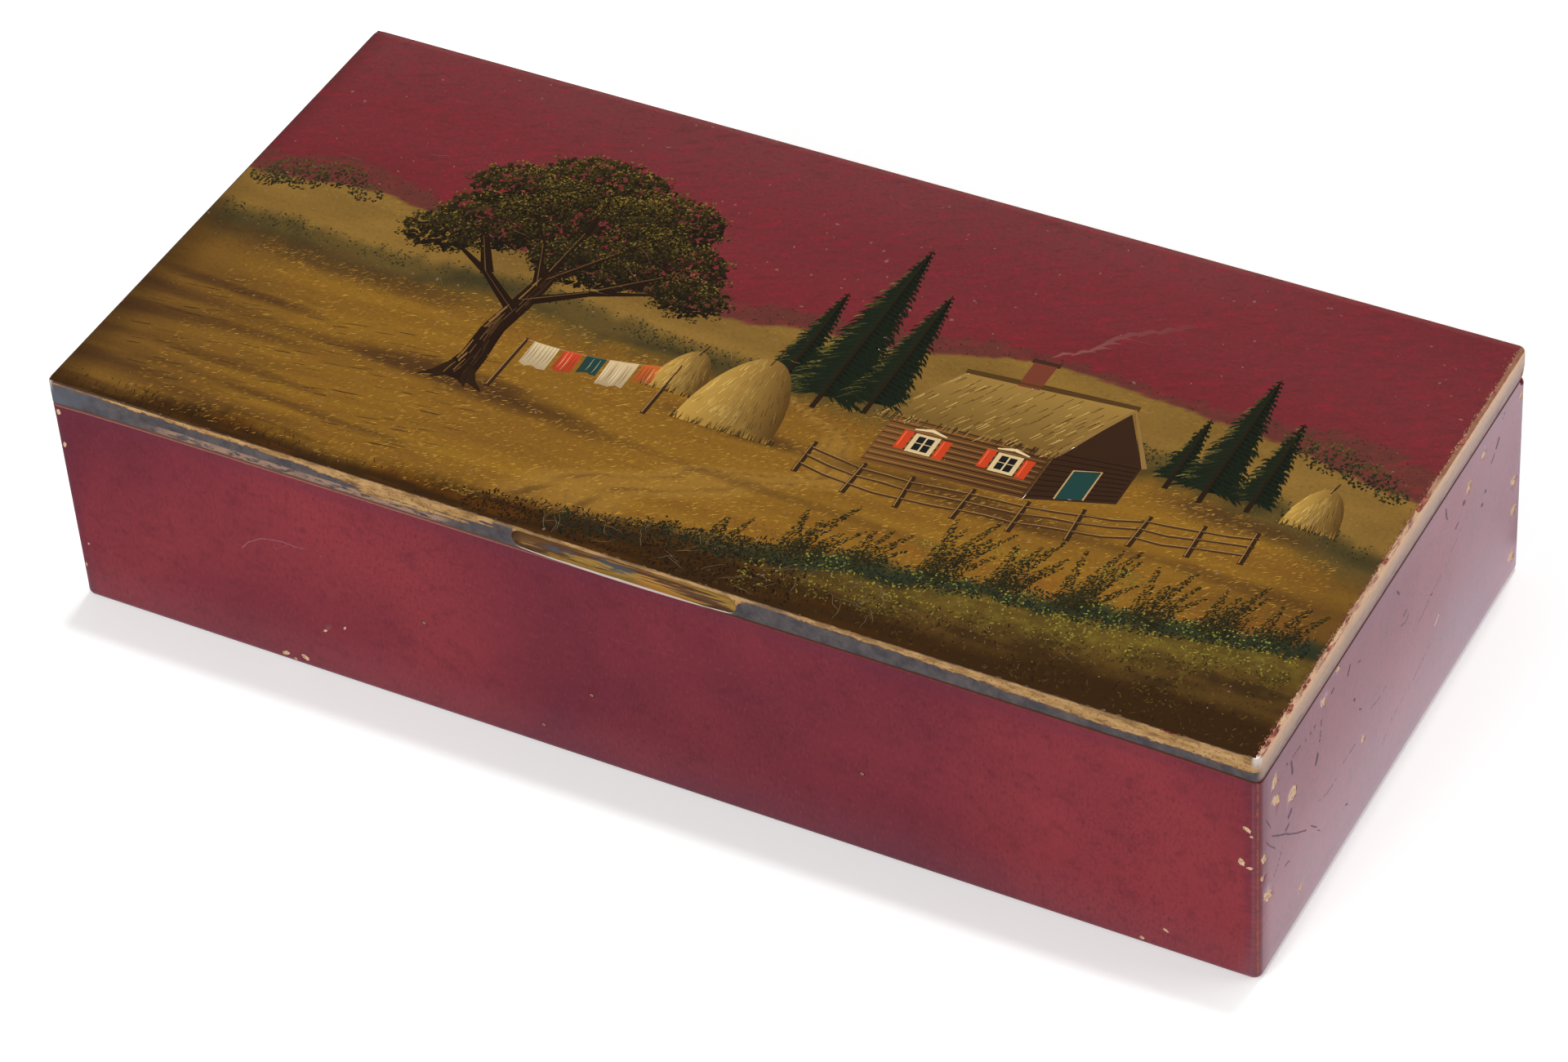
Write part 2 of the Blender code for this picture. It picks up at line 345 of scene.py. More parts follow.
class PaintDesk(Desk):
    """Writes a surface material round one Principled shader."""

    def __init__(self, name: str) -> None:
        """Start a material.

        Args:
            name: The material's name.
        """
        self.material = bpy.data.materials.new(name)
        self.material.use_nodes = True
        super().__init__(self.material.node_tree)
        self.shader = self.tree.nodes["Principled BSDF"]
        self.place = self.node("ShaderNodeTexCoord").outputs["Object"]

    def set(self, **values: Input) -> None:
        """Feed the shader's inputs, named with low lines for spaces."""
        for name, value in values.items():
            self.feed(self.shader.inputs[name.replace("_", " ")], value)

    def attribute(self, name: str, output: str = "Color") -> Value:
        """Return a value that the mesh carries under a name."""
        return self.wire("ShaderNodeAttribute", {}, output, attribute_name=name)

    def turned(
        self,
        turn: Point = (0, 0, 0),
        scale: Point = (1, 1, 1),
        shift: Point = (0, 0, 0),
    ) -> Value:
        """Return the point on the object turned, in degrees, then scaled and shifted.

        Args:
            turn: Turn about X, Y and Z.
            scale: Scale along each.
            shift: Shift along each.

        Returns:
            The new point.
        """
        angles = tuple(math.radians(a) for a in turn)
        spun = self.wire("ShaderNodeMapping", {"Vector": self.place, "Rotation": angles})
        return self.wire("ShaderNodeMapping", {"Vector": spun, "Scale": scale, "Location": shift})

    def cloud(
        self,
        scale: float,
        detail: float = 3.0,
        rough: float = 0.5,
        warp: float = 0.0,
        at: Input | None = None,
    ) -> Value:
        """Return cloudy noise about one half.

        Args:
            scale: Features to each unit of the place.
            detail: Octaves of finer noise.
            rough: Strength of the finer octaves.
            warp: How far the noise is bent by itself.
            at: Where to read it, or None for the point on the object.

        Returns:
            The noise, from about 0.2 to 0.8.
        """
        inputs = {
            "Vector": at or self.place, "Scale": scale, "Detail": detail, "Roughness": rough,
            "Distortion": warp
        }
        return self.wire("ShaderNodeTexNoise", inputs, "Fac")

    def streaks(
        self,
        scale: Point,
        detail: float,
        rough: float = 0.5,
        warp: float = 0.0,
        turn: Point = (0, 0, 0),
        shift: Point = (0, 0, 0),
    ) -> Value:
        """Return noise about one half that is finer one way than another.

        Args:
            scale: Features to each metre along X, Y and Z.
            detail: Octaves of finer noise.
            rough: Strength of the finer octaves.
            warp: How far the noise is bent by itself.
            turn: Turn of the object before the scale, in degrees.
            shift: Shift after the scale.

        Returns:
            The noise, from about 0.2 to 0.8.
        """
        return self.cloud(1.0, detail, rough, warp, self.turned(turn, scale, shift))

    def crackle(self, scale: float, width: float) -> Value:
        """Return 1 on the lines of a network of cracks and 0 between them.

        Args:
            scale: Cells to each metre.
            width: Width of a line, as a share of a cell.

        Returns:
            The mask of the lines.
        """
        at = self.place
        bend = self.wire(
            "ShaderNodeTexNoise", {"Vector": at, "Scale": scale * 0.6, "Detail": 2.0}, "Color"
        )
        centred = self.wire(
            "ShaderNodeVectorMath", {0: bend, 1: (0.5, 0.5, 0.5)}, operation="SUBTRACT"
        )
        far = self.wire(
            "ShaderNodeVectorMath", {0: centred, "Scale": CRACK_BEND}, operation="SCALE"
        )
        at = self.wire("ShaderNodeVectorMath", {0: at, 1: far}, operation="ADD")
        edge = self.wire(
            "ShaderNodeTexVoronoi", {"Vector": at, "Scale": scale}, "Distance",
            feature="DISTANCE_TO_EDGE"
        )
        return self.rise(edge, width, width * 0.3)

    def scratches(self, turn: Point, length: float, width: float, amount: float) -> Value:
        """Return 1 on scattered fine scratches that lie in one direction.

        Args:
            turn: Turn that lays the scratches along X, in degrees.
            length: Usual length of a scratch, in metres.
            width: Usual width, in metres.
            amount: Share of the surface they may take, from 0 to 1.

        Returns:
            The mask of the scratches.
        """
        at = self.turned(turn, (1 / length, 1 / width, 1 / width))
        level = 0.78 - 0.2 * amount
        return self.rise(self.cloud(1.0, 1.0, 0.4, 0.3, at), level, level + 0.025)

    def stops(self, value: Input, stops: Sequence[tuple[float, Colour]]) -> Value:
        """Return a colour that runs through (number, colour) stops.

        Args:
            value: The number, from 0 to 1.
            stops: The stops, from low to high.

        Returns:
            The colour.
        """
        made = self.node("ShaderNodeValToRGB")
        self.feed(made.inputs[0], value)
        points = made.color_ramp.elements
        while len(points) < len(stops):
            points.new(1.0)
        for point, (at, colour) in zip(points, stops):
            point.position = at
            point.color = (*colour, 1.0)
        return Value(self, made.outputs[0])

    def bump(self, height: Input, depth: float) -> None:
        """Give the surface a relief in which a height of 1 stands for `depth` metres.

        Args:
            height: The relief's height.
            depth: What a height of 1 stands for.
        """
        inputs = {"Height": height, "Distance": depth}
        before = self.shader.inputs["Normal"].links
        if before:
            inputs["Normal"] = before[0].from_socket
        self.set(Normal=self.wire("ShaderNodeBump", inputs))


class FormDesk(Desk):
    """Writes a Geometry Nodes tree whose sizes are named inputs."""

    KINDS = {float: "NodeSocketFloat", int: "NodeSocketInt"}

    def __init__(self, name: str, takes_mesh: bool = False) -> None:
        """Start a tree, which works on the carrier's mesh if `takes_mesh` is set.

        Args:
            name: The tree's name.
            takes_mesh: Whether it has a geometry input.
        """
        super().__init__(bpy.data.node_groups.new(name, "GeometryNodeTree"))
        self.tree.interface.new_socket(
            "Geometry", in_out="OUTPUT", socket_type="NodeSocketGeometry"
        )
        if takes_mesh:
            self.tree.interface.new_socket(
                "Geometry", in_out="INPUT", socket_type="NodeSocketGeometry"
            )
        self.entry = self.node("NodeGroupInput")
        self.exit = self.node("NodeGroupOutput")

    def size(self, name: str, value: float | int | tuple) -> Value:
        """Add a named input with a usual value, and return its socket.

        Args:
            name: The input's name.
            value: Its usual value, which also says its kind.

        Returns:
            The socket that gives its value inside the tree.
        """
        kind = self.KINDS.get(type(value))
        if kind is None:
            kind = "NodeSocketVector" if len(value) == 3 else "NodeSocketColor"
        made = self.tree.interface.new_socket(name, in_out="INPUT", socket_type=kind)
        made.default_value = value
        return Value(self, self.entry.outputs[name])

    def chance(self, low: Input, high: Input, seed: Input) -> Value:
        """Return a random number between two limits for each element."""
        return self.wire(
            "FunctionNodeRandomValue", {2: low, 3: high, "Seed": seed}, 1, data_type="FLOAT"
        )

    def close(self, geometry: Input, material: bpy.types.Material) -> None:
        """End the tree in real, smooth faces of one material.

        Args:
            geometry: What the tree has made.
            material: The material.
        """
        real = self.wire("GeometryNodeRealizeInstances", {0: geometry})
        smooth = self.wire("GeometryNodeSetShadeSmooth", {0: real})
        done = self.wire("GeometryNodeSetMaterial", {0: smooth, "Material": material})
        self.feed(self.exit.inputs[0], done)

    def grow(
        self,
        name: str,
        sizes: dict[str, object],
        mesh: bpy.types.Mesh | None = None,
    ) -> bpy.types.Mesh:
        """Run the tree with its own sizes and return the plain mesh it makes.

        Args:
            name: Name of the new mesh.
            sizes: Values of the tree's inputs by name.
            mesh: Mesh that the tree works on, if it takes one.

        Returns:
            A mesh without modifiers.
        """
        carrier = bpy.data.objects.new(name, mesh or bpy.data.meshes.new(name))
        bpy.context.scene.collection.objects.link(carrier)
        step = carrier.modifiers.new(name, "NODES")
        step.node_group = self.tree
        for item in self.tree.interface.items_tree:
            if item.in_out == "INPUT" and item.name in sizes:
                step[item.identifier] = sizes[item.name]
        return freeze(carrier)


# Meshes and pieces


def freeze(carrier: bpy.types.Object) -> bpy.types.Mesh:
    """Return an object's mesh with its modifiers applied, and remove the object.

    Args:
        carrier: The object.

    Returns:
        A plain mesh of the object's name.
    """
    bpy.context.view_layer.update()
    graph = bpy.context.evaluated_depsgraph_get()
    mesh = bpy.data.meshes.new_from_object(carrier.evaluated_get(graph))
    name = carrier.name
    bpy.data.objects.remove(carrier)
    mesh.name = name
    return mesh


def mesh_of(name: str, bm: bmesh.types.BMesh, angle: float = SHARP_ANGLE) -> bpy.types.Mesh:
    """Turn a bmesh into a smooth mesh with creases past an angle.

    Args:
        name: Name of the mesh.
        bm: The bmesh, which is freed.
        angle: Least angle of a crease.

    Returns:
        The mesh.
    """
    mesh = bpy.data.meshes.new(name)
    bm.to_mesh(mesh)
    bm.free()
    mesh.shade_smooth()
    mesh.set_sharp_from_angle(angle=angle)
    return mesh


def number_faces(bm: bmesh.types.BMesh, number: int) -> None:
    """Give every face one material number."""
    for face in bm.faces:
        face.material_index = number


def join_rings(bm: bmesh.types.BMesh, rings: Sequence[Sequence[bmesh.types.BMVert]]) -> None:
    """Lay a closed band of faces between each ring of points and the next.

    Args:
        bm: The mesh being made.
        rings: Rings with the same number of points.
    """
    for low, high in zip(rings, rings[1:]):
        for i in range(len(low)):
            j = (i + 1) % len(low)
            bm.faces.new((low[i], low[j], high[j], high[i]))


def close_rings(bm: bmesh.types.BMesh, rings: Sequence[Sequence[bmesh.types.BMVert]]) -> None:
    """Join rings of points into a form with a flat face at both ends.

    Args:
        bm: The mesh being made.
        rings: Rings with the same number of points, from one end to the other.
    """
    join_rings(bm, rings)
    bm.faces.new(rings[-1])
    bm.faces.new(list(reversed(rings[0])))


def join_columns(bm: bmesh.types.BMesh, grid: Sequence[Sequence[bmesh.types.BMVert]]) -> None:
    """Lay faces between each column of a grid of points and the next.

    Args:
        bm: The mesh being made.
        grid: Columns with the same number of points.
    """
    for a, b in zip(grid, grid[1:]):
        for j in range(len(a) - 1):
            bm.faces.new((a[j], b[j], b[j + 1], a[j + 1]))


def add_piece(
    name: str,
    mesh: bpy.types.Mesh,
    body: Body,
    materials: Sequence[bpy.types.Material] = (),
    stands_for: Sequence[str] = (),
) -> bpy.types.Object:
    """Put a finished piece into the scene.

    Args:
        name: The piece's name.
        mesh: Its mesh, already in place.
        body: The body it moves with.
        materials: Its materials in the order of the faces' numbers, or none to keep the mesh's own.
        stands_for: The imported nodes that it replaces.

    Returns:
        The new object.
    """
    piece = bpy.data.objects.new(name, mesh)
    bpy.context.scene.collection.objects.link(piece)
    if materials:
        numbers = [face.material_index for face in mesh.polygons]
        mesh.materials.clear()
        for material in materials:
            mesh.materials.append(material)
        mesh.polygons.foreach_set("material_index", numbers)
    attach(piece, body.value)
    if stands_for:
        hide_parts(*stands_for)
    log.info("%s: %d faces on %s", name, len(mesh.polygons), body.value)
    return piece


def carve(mesh: bpy.types.Mesh, tools: Iterable[tuple[bpy.types.Mesh, str]]) -> bpy.types.Mesh:
    """Cut shapes from a mesh or join them on.

    Args:
        mesh: The mesh to work on.
        tools: Pairs of (shape, operation), in order. A shape's faces keep their
            material numbers where they become part of the mesh, and a shape
            named chips may cross itself.

    Returns:
        The finished mesh.
    """
    carrier = bpy.data.objects.new(mesh.name, mesh)
    bpy.context.scene.collection.objects.link(carrier)
    cutters = []
    for shape, operation in tools:
        cutter = bpy.data.objects.new(shape.name, shape)
        bpy.context.scene.collection.objects.link(cutter)
        cutters.append(cutter)
        step = carrier.modifiers.new(shape.name, "BOOLEAN")
        step.object = cutter
        step.operation = operation
        step.solver = "EXACT"
        step.use_self = "chips" in shape.name
        step.material_mode = "INDEX"
    done = freeze(carrier)
    for cutter in cutters:
        bpy.data.objects.remove(cutter)
    done.set_sharp_from_angle(angle=SHARP_ANGLE)
    return done


@dataclass(frozen=True)
class PlanLoop:
    """Rounded rectangle with evenly spread points, walked anticlockwise."""

    half_x: float
    half_y: float
    radius: float
    step: float = 2 * MM
    corner_steps: int = 8
    least_radius: float = 0.1 * MM

    def counts(self) -> tuple[int, int]:
        """Return how many stretches the long and the short side have.

        Returns:
            The two numbers.
        """
        long_side = round(2 * (self.half_x - self.radius) / self.step)
        short_side = round(2 * (self.half_y - self.radius) / self.step)
        return long_side, short_side

    def ring(self, inset: float, z: float) -> list[tuple[Vector, Vector]]:
        """Return (point, outward direction) pairs of the loop drawn in by `inset`, at height z.

        Args:
            inset: How far the loop is drawn in.
            z: Its height.

        Returns:
            The pairs, anticlockwise from the front right corner.
        """
        radius = max(self.radius - inset, self.least_radius)
        arm_x = self.half_x - inset - radius
        arm_y = self.half_y - inset - radius
        corners = ((arm_x, -arm_y), (arm_x, arm_y), (-arm_x, arm_y), (-arm_x, -arm_y))
        long_side, short_side = self.counts()
        made = []
        for quarter, (x, y) in enumerate(corners):
            for step in range(self.corner_steps + 1):
                angle = math.pi / 2 * (quarter - 1 + step / self.corner_steps)
                out = Vector((math.cos(angle), math.sin(angle), 0))
                made.append((Vector((x, y, z)) + radius * out, out))
            following = corners[(quarter + 1) % 4]
            count = short_side if quarter % 2 == 0 else long_side
            angle = math.pi / 2 * quarter
            out = Vector((math.cos(angle), math.sin(angle), 0))
            start = Vector((x, y, z)) + radius * out
            end = Vector((*following, z)) + radius * out
            made.extend((start.lerp(end, i / count), out) for i in range(1, count))
        return made


def rounding(radius: float, steps: int) -> list[Spot]:
    """Return (distance drawn in, distance from the edge) along a quarter round."""
    angles = [math.pi / 2 * step / steps for step in range(steps + 1)]
    return [(radius * (1 - math.cos(a)), radius * (1 - math.sin(a))) for a in angles]


def fine_noise(x: float, y: float, z: float = 0.0) -> float:
    """Return layered noise between about -1 and 1.

    Args:
        x: First place in the noise.
        y: Second place.
        z: Third place, which a call sets to get a pattern of its own.

    Returns:
        The sum of the layers.
    """
    total = 0.0
    weight = 1.0
    for _ in range(NOISE_LAYERS):
        total += weight * noise.noise((x, y, z))
        x, y, z, weight = 2.03 * x + 5.1, 2.03 * y - 3.7, 2.03 * z + 1.3, weight * 0.5
    return total


def box_mesh(
    name: str,
    low: Sequence[float],
    high: Sequence[float],
    number: int = 0,
) -> bpy.types.Mesh:
    """Return a rectangular block whose faces carry one material number.

    Args:
        name: Name of the mesh.
        low: Its lower corner.
        high: Its upper corner.
        number: Material number of the faces.

    Returns:
        The block.
    """
    bm = bmesh.new()
    made = bmesh.ops.create_cube(bm, size=1.0)["verts"]
    bmesh.ops.scale(bm, vec=[b - a for a, b in zip(low, high)], verts=made)
    bmesh.ops.translate(bm, vec=[(a + b) / 2 for a, b in zip(low, high)], verts=made)
    number_faces(bm, number)
    return mesh_of(name, bm)


def turned_mesh(
    name: str,
    profile: Sequence[Spot],
    centre: Point,
    steps: int,
    number: int = 0,
) -> bpy.types.Mesh:
    """Turn (x, radius) points about a line along X through a centre.

    Args:
        name: Name of the mesh.
        profile: Points from one end to the other; the ends may lie on the line.
        centre: A point on the line.
        steps: Faces round the line.
        number: Material number of the faces.

    Returns:
        A closed mesh.
    """
    bm = bmesh.new()
    rows = []
    for x, radius in profile:
        around = 1 if radius < 1e-7 else steps
        angles = [math.tau * i / steps for i in range(around)]
        offsets = [(x, radius * math.cos(a), radius * math.sin(a)) for a in angles]
        rows.append([bm.verts.new([c + o for c, o in zip(centre, offset)]) for offset in offsets])
    for low, high in zip(rows, rows[1:]):
        for i in range(steps):
            j = (i + 1) % steps
            corners = [
                low[i % len(low)], low[j % len(low)], high[j % len(high)], high[i % len(high)]
            ]
            bm.faces.new(list(dict.fromkeys(corners)))
    if len(rows[0]) > 1:
        bm.faces.new(rows[0])
    if len(rows[-1]) > 1:
        bm.faces.new(rows[-1])
    bmesh.ops.recalc_face_normals(bm, faces=bm.faces)
    number_faces(bm, number)
    return mesh_of(name, bm)


def groove_bar(number: int = 0) -> bpy.types.Mesh:
    """Return the round bar that cuts the hinge groove along the back edge.

    Args:
        number: Material number of the groove's wall.

    Returns:
        A bar round the hinge's axis that is longer than the box.
    """
    reach = HALF_X + 2 * MM
    profile = [(-reach, GROOVE_RADIUS), (reach, GROOVE_RADIUS)]
    return turned_mesh("hinge_groove", profile, tuple(AXIS), 48, number)


# Finishes


@dataclass(frozen=True)
class RedLacquer:
    """Aged crimson lacquer: cloudy, finely mottled and crackled, rubbed at the edges; painted shade
    and highlights.
    """

    name: str = "crimson_lacquer"
    deep: Colour = under_varnish(106, 42, 55)
    middle: Colour = under_varnish(124, 47, 56)
    warm: Colour = under_varnish(142, 54, 60)
    shade_tone: Colour = under_varnish(100, 47, 62)
    mottle: Colour = under_varnish(88, 34, 44)
    grain: Colour = under_varnish(150, 66, 72)
    scratch: Colour = under_varnish(96, 56, 66)
    pale_scratch_and_highlight: Colour = under_varnish(150, 96, 100)
    edge_wear: Colour = under_varnish(166, 88, 58)
    rim_wear_and_light: Colour = under_varnish(122, 78, 64)
    seam_light_tone: Colour = under_varnish(150, 108, 94)

    def material(self) -> bpy.types.Material:
        """Write the lacquer's nodes.

        Returns:
            The material.
        """
        desk = PaintDesk(self.name)
        x, y, z = desk.split(desk.place)
        across = desk.math("ABSOLUTE", x)
        along = x * (0.5 / HALF_X) + 0.5
        # The tone drifts along the box: lighter towards both ends and darker right of the middle,
        # darker again high up at the left end and a little darker towards the floor.
        drift = desk.curve(
            along,
            [
                (0, 0.44), (0.06, 0.58), (0.15, 0.58), (0.3, 0.58), (0.45, 0.4), (0.6, 0.32),
                (0.72, 0.36), (0.84, 0.5), (0.95, 0.66), (1, 0.56)
            ]
        )
        clouds = desk.cloud(21.0, 4.0, 0.55, 0.3)
        drift = drift - desk.rise(z, 18 * MM, 36 * MM) * desk.rise(x, -58 * MM, -76 * MM) * 0.2
        tone = desk.add(drift, desk.swing(clouds, 0.9), desk.rise(z, 6 * MM, 0.0) * -0.05)
        colour = desk.stops(tone, [(0.28, self.deep), (0.48, self.middle), (0.7, self.warm)])
        coarse = desk.rise(desk.cloud(420.0, 3.0, 0.6, 0.3), 0.5, 0.72)
        colour = desk.lay(colour, self.mottle, coarse, 0.3)
        upright = desk.streaks((2100, 2100, 900), 3.0, 0.62)
        fine = desk.rise(upright, 0.5, 0.74)
        patches = desk.rise(desk.cloud(75.0, 2.0), 0.3, 0.7)
        colour = desk.lay(colour, self.mottle, fine, 0.25 + patches * 0.4)
        colour = desk.lay(colour, self.grain, desk.rise(upright, 0.46, 0.3), 0.3)

        cracks = desk.crackle(1050.0, 0.08) * desk.rise(desk.cloud(34.0, 2.0), 0.5, 0.64)
        colour = desk.lay(colour, self.mottle, cracks, 0.3)
        # Painted shade just below the seam with the lid.
        shade = desk.rise(z, RIM_Z - 2.6 * MM, RIM_Z - 0.6 * MM)
        colour = desk.lay(colour, self.shade_tone, shade, 0.3)

        corner = desk.least(across, desk.math("ABSOLUTE", y) + (HALF_X - HALF_Y))
        # Painted shade, mauve and rippled, 1.6 to 3.2 mm in from each upright corner.
        corner_shade = desk.rise(corner, HALF_X - 3.2 * MM, HALF_X - 1.6 * MM)
        ripple = desk.streaks((250, 250, 1900), 2.0, 0.6)
        colour = desk.lay(colour, self.shade_tone, corner_shade, desk.rise(ripple, 0.25, 0.7), 0.7)
        ragged = desk.cloud(900.0, 3.0, 0.7) - 0.5
        worn = desk.rise(corner + ragged * (0.6 * MM), HALF_X - 0.62 * MM, HALF_X - 0.5 * MM)
        colour = desk.lay(colour, self.edge_wear, worn, 0.9)
        # At the very foot the edge-wear colour; above it, up to 1.4 mm and strongest to the left, a
        # pale pink painted highlight on the rounded foot.
        foot = desk.rise(z + ragged * (-0.7 * MM), 0.3 * MM, -0.05 * MM)
        colour = desk.lay(colour, self.edge_wear, foot, 0.5)
        foot_highlight = desk.rise(z, 1.4 * MM, 0.5 * MM) * desk.rise(x, 30 * MM, -60 * MM) * 0.3
        colour = desk.mix(foot_highlight, colour, self.pale_scratch_and_highlight)
        in_front = desk.rise(y * -1.0, *FRONT_WALL)
        bow = desk.math("POWER", across * (1 / HALF_X), SEAM_BOW_POWER)
        crown = (1.0 - bow) * in_front * SEAM_BOW
        # Along the front the wall's top edge takes a worn tan, painted paler towards the left as
        # painted light that brightens the shadowed seam.
        rubbed = desk.rise(x, 10 * MM, -25 * MM) * in_front
        rim_low = desk.add(z - crown, (rubbed - 0.75) * (0.1 * MM) * in_front, ragged * (0.2 * MM))
        rim = desk.rise(rim_low, RIM_Z - 0.1 * MM, RIM_Z - 0.02 * MM)
        colour = desk.mix(rim * 0.85, colour, desk.mix(rubbed, self.rim_wear_and_light, self.seam_light_tone))

        steep = desk.scratches((58, 0, 0), 3.2 * MM, 0.13 * MM, 0.6)
        steep = steep * desk.rise(desk.cloud(70.0, 1.0), 0.42, 0.6)
        on_side = desk.rise(across, HALF_X - 1.2 * MM, HALF_X - 0.4 * MM)
        steep = steep * (0.12 + on_side * 0.88)
        colour = desk.lay(colour, self.scratch, steep, 0.8)
        hairs = desk.scratches((0, 24, 17), 5.0 * MM, 0.05 * MM, 0.35)
        colour = desk.lay(colour, self.pale_scratch_and_highlight, hairs, 0.25)

        rough = desk.add(0.3, clouds * 0.12, desk.most(worn, rim) * 0.2)
        near = on_side * desk.rise(y, -HALF_Y + 5 * MM, -HALF_Y + 1.5 * MM) * 0.35
        coat = 0.75 - desk.most(steep, worn * 0.8, rim, near) * 0.72
        desk.set(Base_Color=colour, Roughness=rough)
        desk.set(Specular_IOR_Level=0.2, Coat_Weight=coat, Coat_Roughness=0.1)
        desk.bump(desk.add(steep * -0.7, cracks * -0.25, worn * -0.4), 0.02 * MM)
        desk.bump(desk.cloud(60.0, 2.0), 0.05 * MM)
        desk.bump(upright, 0.004 * MM)
        return desk.material


@dataclass(frozen=True)
class BareBoard:
    """Pasted paper board that shows in chips: dull and fibrous."""

    name: str = "bare_board"
    light: Colour = seen(214, 180, 146)
    dark: Colour = seen(142, 98, 74)

    def material(self) -> bpy.types.Material:
        """Write the board's nodes.

        Returns:
            The material.
        """
        desk = PaintDesk(self.name)
        fibres = desk.cloud(2400.0, 3.0, 0.6)
        desk.set(
            Base_Color=desk.stops(fibres, [(0.3, self.dark), (0.5, self.light), (0.8, self.light)])
        )
        desk.set(Roughness=0.65 + fibres * 0.2)
        desk.bump(fibres, 0.06 * MM)
        return desk.material


@dataclass(frozen=True)
class RedGround:
    """Reddish ground under gilding and paint, where both have chipped off."""

    name: str = "red_ground"
    light: Colour = seen(176, 98, 78)
    dark: Colour = seen(104, 40, 38)

    def material(self) -> bpy.types.Material:
        """Write the ground's nodes.

        Returns:
            The material.
        """
        desk = PaintDesk(self.name)
        grain = desk.cloud(1800.0, 3.0, 0.6)
        desk.set(Base_Color=desk.stops(grain, [(0.35, self.dark), (0.62, self.light)]))
        desk.set(Roughness=0.5 + grain * 0.2)
        desk.bump(grain, 0.04 * MM)
        return desk.material


@dataclass(frozen=True)
class GiltEdge:
    """Worn gold over a dark grey ground round the lid's edge.

    The gold is left along the upper part of the edge, most of all to the
    right; beside the thumb scoop it has flaked off altogether. Painted
    highlights lie along the top edge, the grip's lip and the front corners,
    painted reflection tints the grey at the left and painted shade lies
    along the seam.
    """

    name: str = "gilt_edge"
    gold: Colour = seen(178, 136, 80)
    bright_gold: Colour = seen(202, 162, 108)
    old_gold: Colour = seen(126, 94, 56)
    grey: Colour = under_varnish(70, 66, 70)
    pale_grey: Colour = under_varnish(98, 90, 88)
    reflected_blue_grey: Colour = under_varnish(92, 96, 106)
    beige: Colour = seen(158, 124, 102)
    mauve: Colour = seen(150, 120, 106)
    mauve_dark: Colour = seen(98, 72, 64)
    cream: Colour = seen(208, 170, 134)
    tan: Colour = seen(180, 148, 124)
    highlight_gold: Colour = seen(172, 134, 88)
    bole: Colour = seen(112, 70, 50)
    edge_line_and_seam_shade: Colour = under_varnish(62, 42, 32)
    glint_white: Colour = seen(226, 212, 200)
    rose: Colour = seen(172, 126, 108)
    red_brown: Colour = seen(112, 58, 44)
    orange_brown: Colour = seen(124, 60, 40)

    def material(self) -> bpy.types.Material:
        """Write the edge's nodes.

        Returns:
            The material.
        """
        desk = PaintDesk(self.name)
        x, y, z = desk.split(desk.place)
        height = (z - LID_Z) * (1 / (TOP_Z - LID_Z))
        along = x * (0.5 / HALF_X) + 0.5
        level = desk.curve(
            along,
            [
                (0, 0.97), (0.035, 0.93), (0.09, 0.85), (0.19, 0.83), (0.25, 0.74), (0.3, 0.46),
                (0.34, 0.48), (0.37, 0.56), (0.395, 0.74), (0.41, 0.6), (0.59, 0.6), (0.605, 0.96),
                (0.635, 0.95), (0.65, 0.84), (0.72, 0.8), (0.78, 0.7), (0.83, 0.57), (0.9, 0.48),
                (0.95, 0.47), (1, 0.42)
            ],
        )
        flakes = desk.streaks((420, 420, 700), 5.0, 0.68)
        lines = desk.streaks((70, 400, 2400), 4.0, 0.62, 0.2, shift=(4, 0, 2))
        rubbed = desk.band(x, -47 * MM, -25 * MM, 4 * MM)
        reach = desk.add(height, desk.swing(flakes, 0.4), desk.swing(lines, rubbed, 1.1))
        over = reach - level
        bare_patch = desk.band(x, -22.6 * MM, -19.3 * MM, 0.25 * MM)
        gilt = desk.rise(over, -0.01, 0.02) * (1.0 - bare_patch)
        rim = desk.rise(over, -0.05, -0.01) * desk.rise(over, 0.04, 0.0)

        tone = desk.streaks((300, 300, 1100), 4.0, 0.62)
        gold = desk.stops(tone, [(0.3, self.old_gold), (0.46, self.gold), (0.68, self.bright_gold)])
        specks = desk.rise(desk.cloud(2300.0, 3.0, 0.65), 0.56, 0.64)
        gold = desk.lay(gold, self.bole, specks, 0.7)
        grey = desk.stops(desk.cloud(520.0, 5.0, 0.66), [(0.36, self.grey), (0.66, self.pale_grey)])
        # Towards the left end the grey ground takes a blue grey, a painted reflection.
        left = desk.rise(x, -84 * MM, -104 * MM) * desk.rise(desk.cloud(150.0, 2.0), 0.3, 0.6)
        grey = desk.mix(left, grey, self.reflected_blue_grey)
        low_flakes = desk.streaks((420, 420, 1500), 5.0, 0.75, shift=(3, 5, 1))
        stretch = desk.most(
            desk.band(x, -80 * MM, -61 * MM, 9 * MM), desk.band(x, -55 * MM, -33 * MM, 4 * MM)
        )
        low = desk.rise(low_flakes, 0.43, 0.49) * desk.band(height, 0.12, 0.43, 0.07) * stretch
        grey = desk.lay(grey, self.beige, low, 0.9)
        colour = desk.mix(gilt, grey, gold)
        colour = desk.lay(colour, self.bole, rim, 0.55)

        right = desk.rise(x, HALF_X - 1.4 * MM, HALF_X - 0.6 * MM)
        back = desk.most(
            desk.rise(y, HALF_Y - 1.4 * MM, HALF_Y - 0.6 * MM),
            desk.rise(x, -HALF_X + 1.4 * MM, -HALF_X + 0.6 * MM)
        )
        streaks = desk.streaks((900, 70, 1500), 4.0, 0.65)
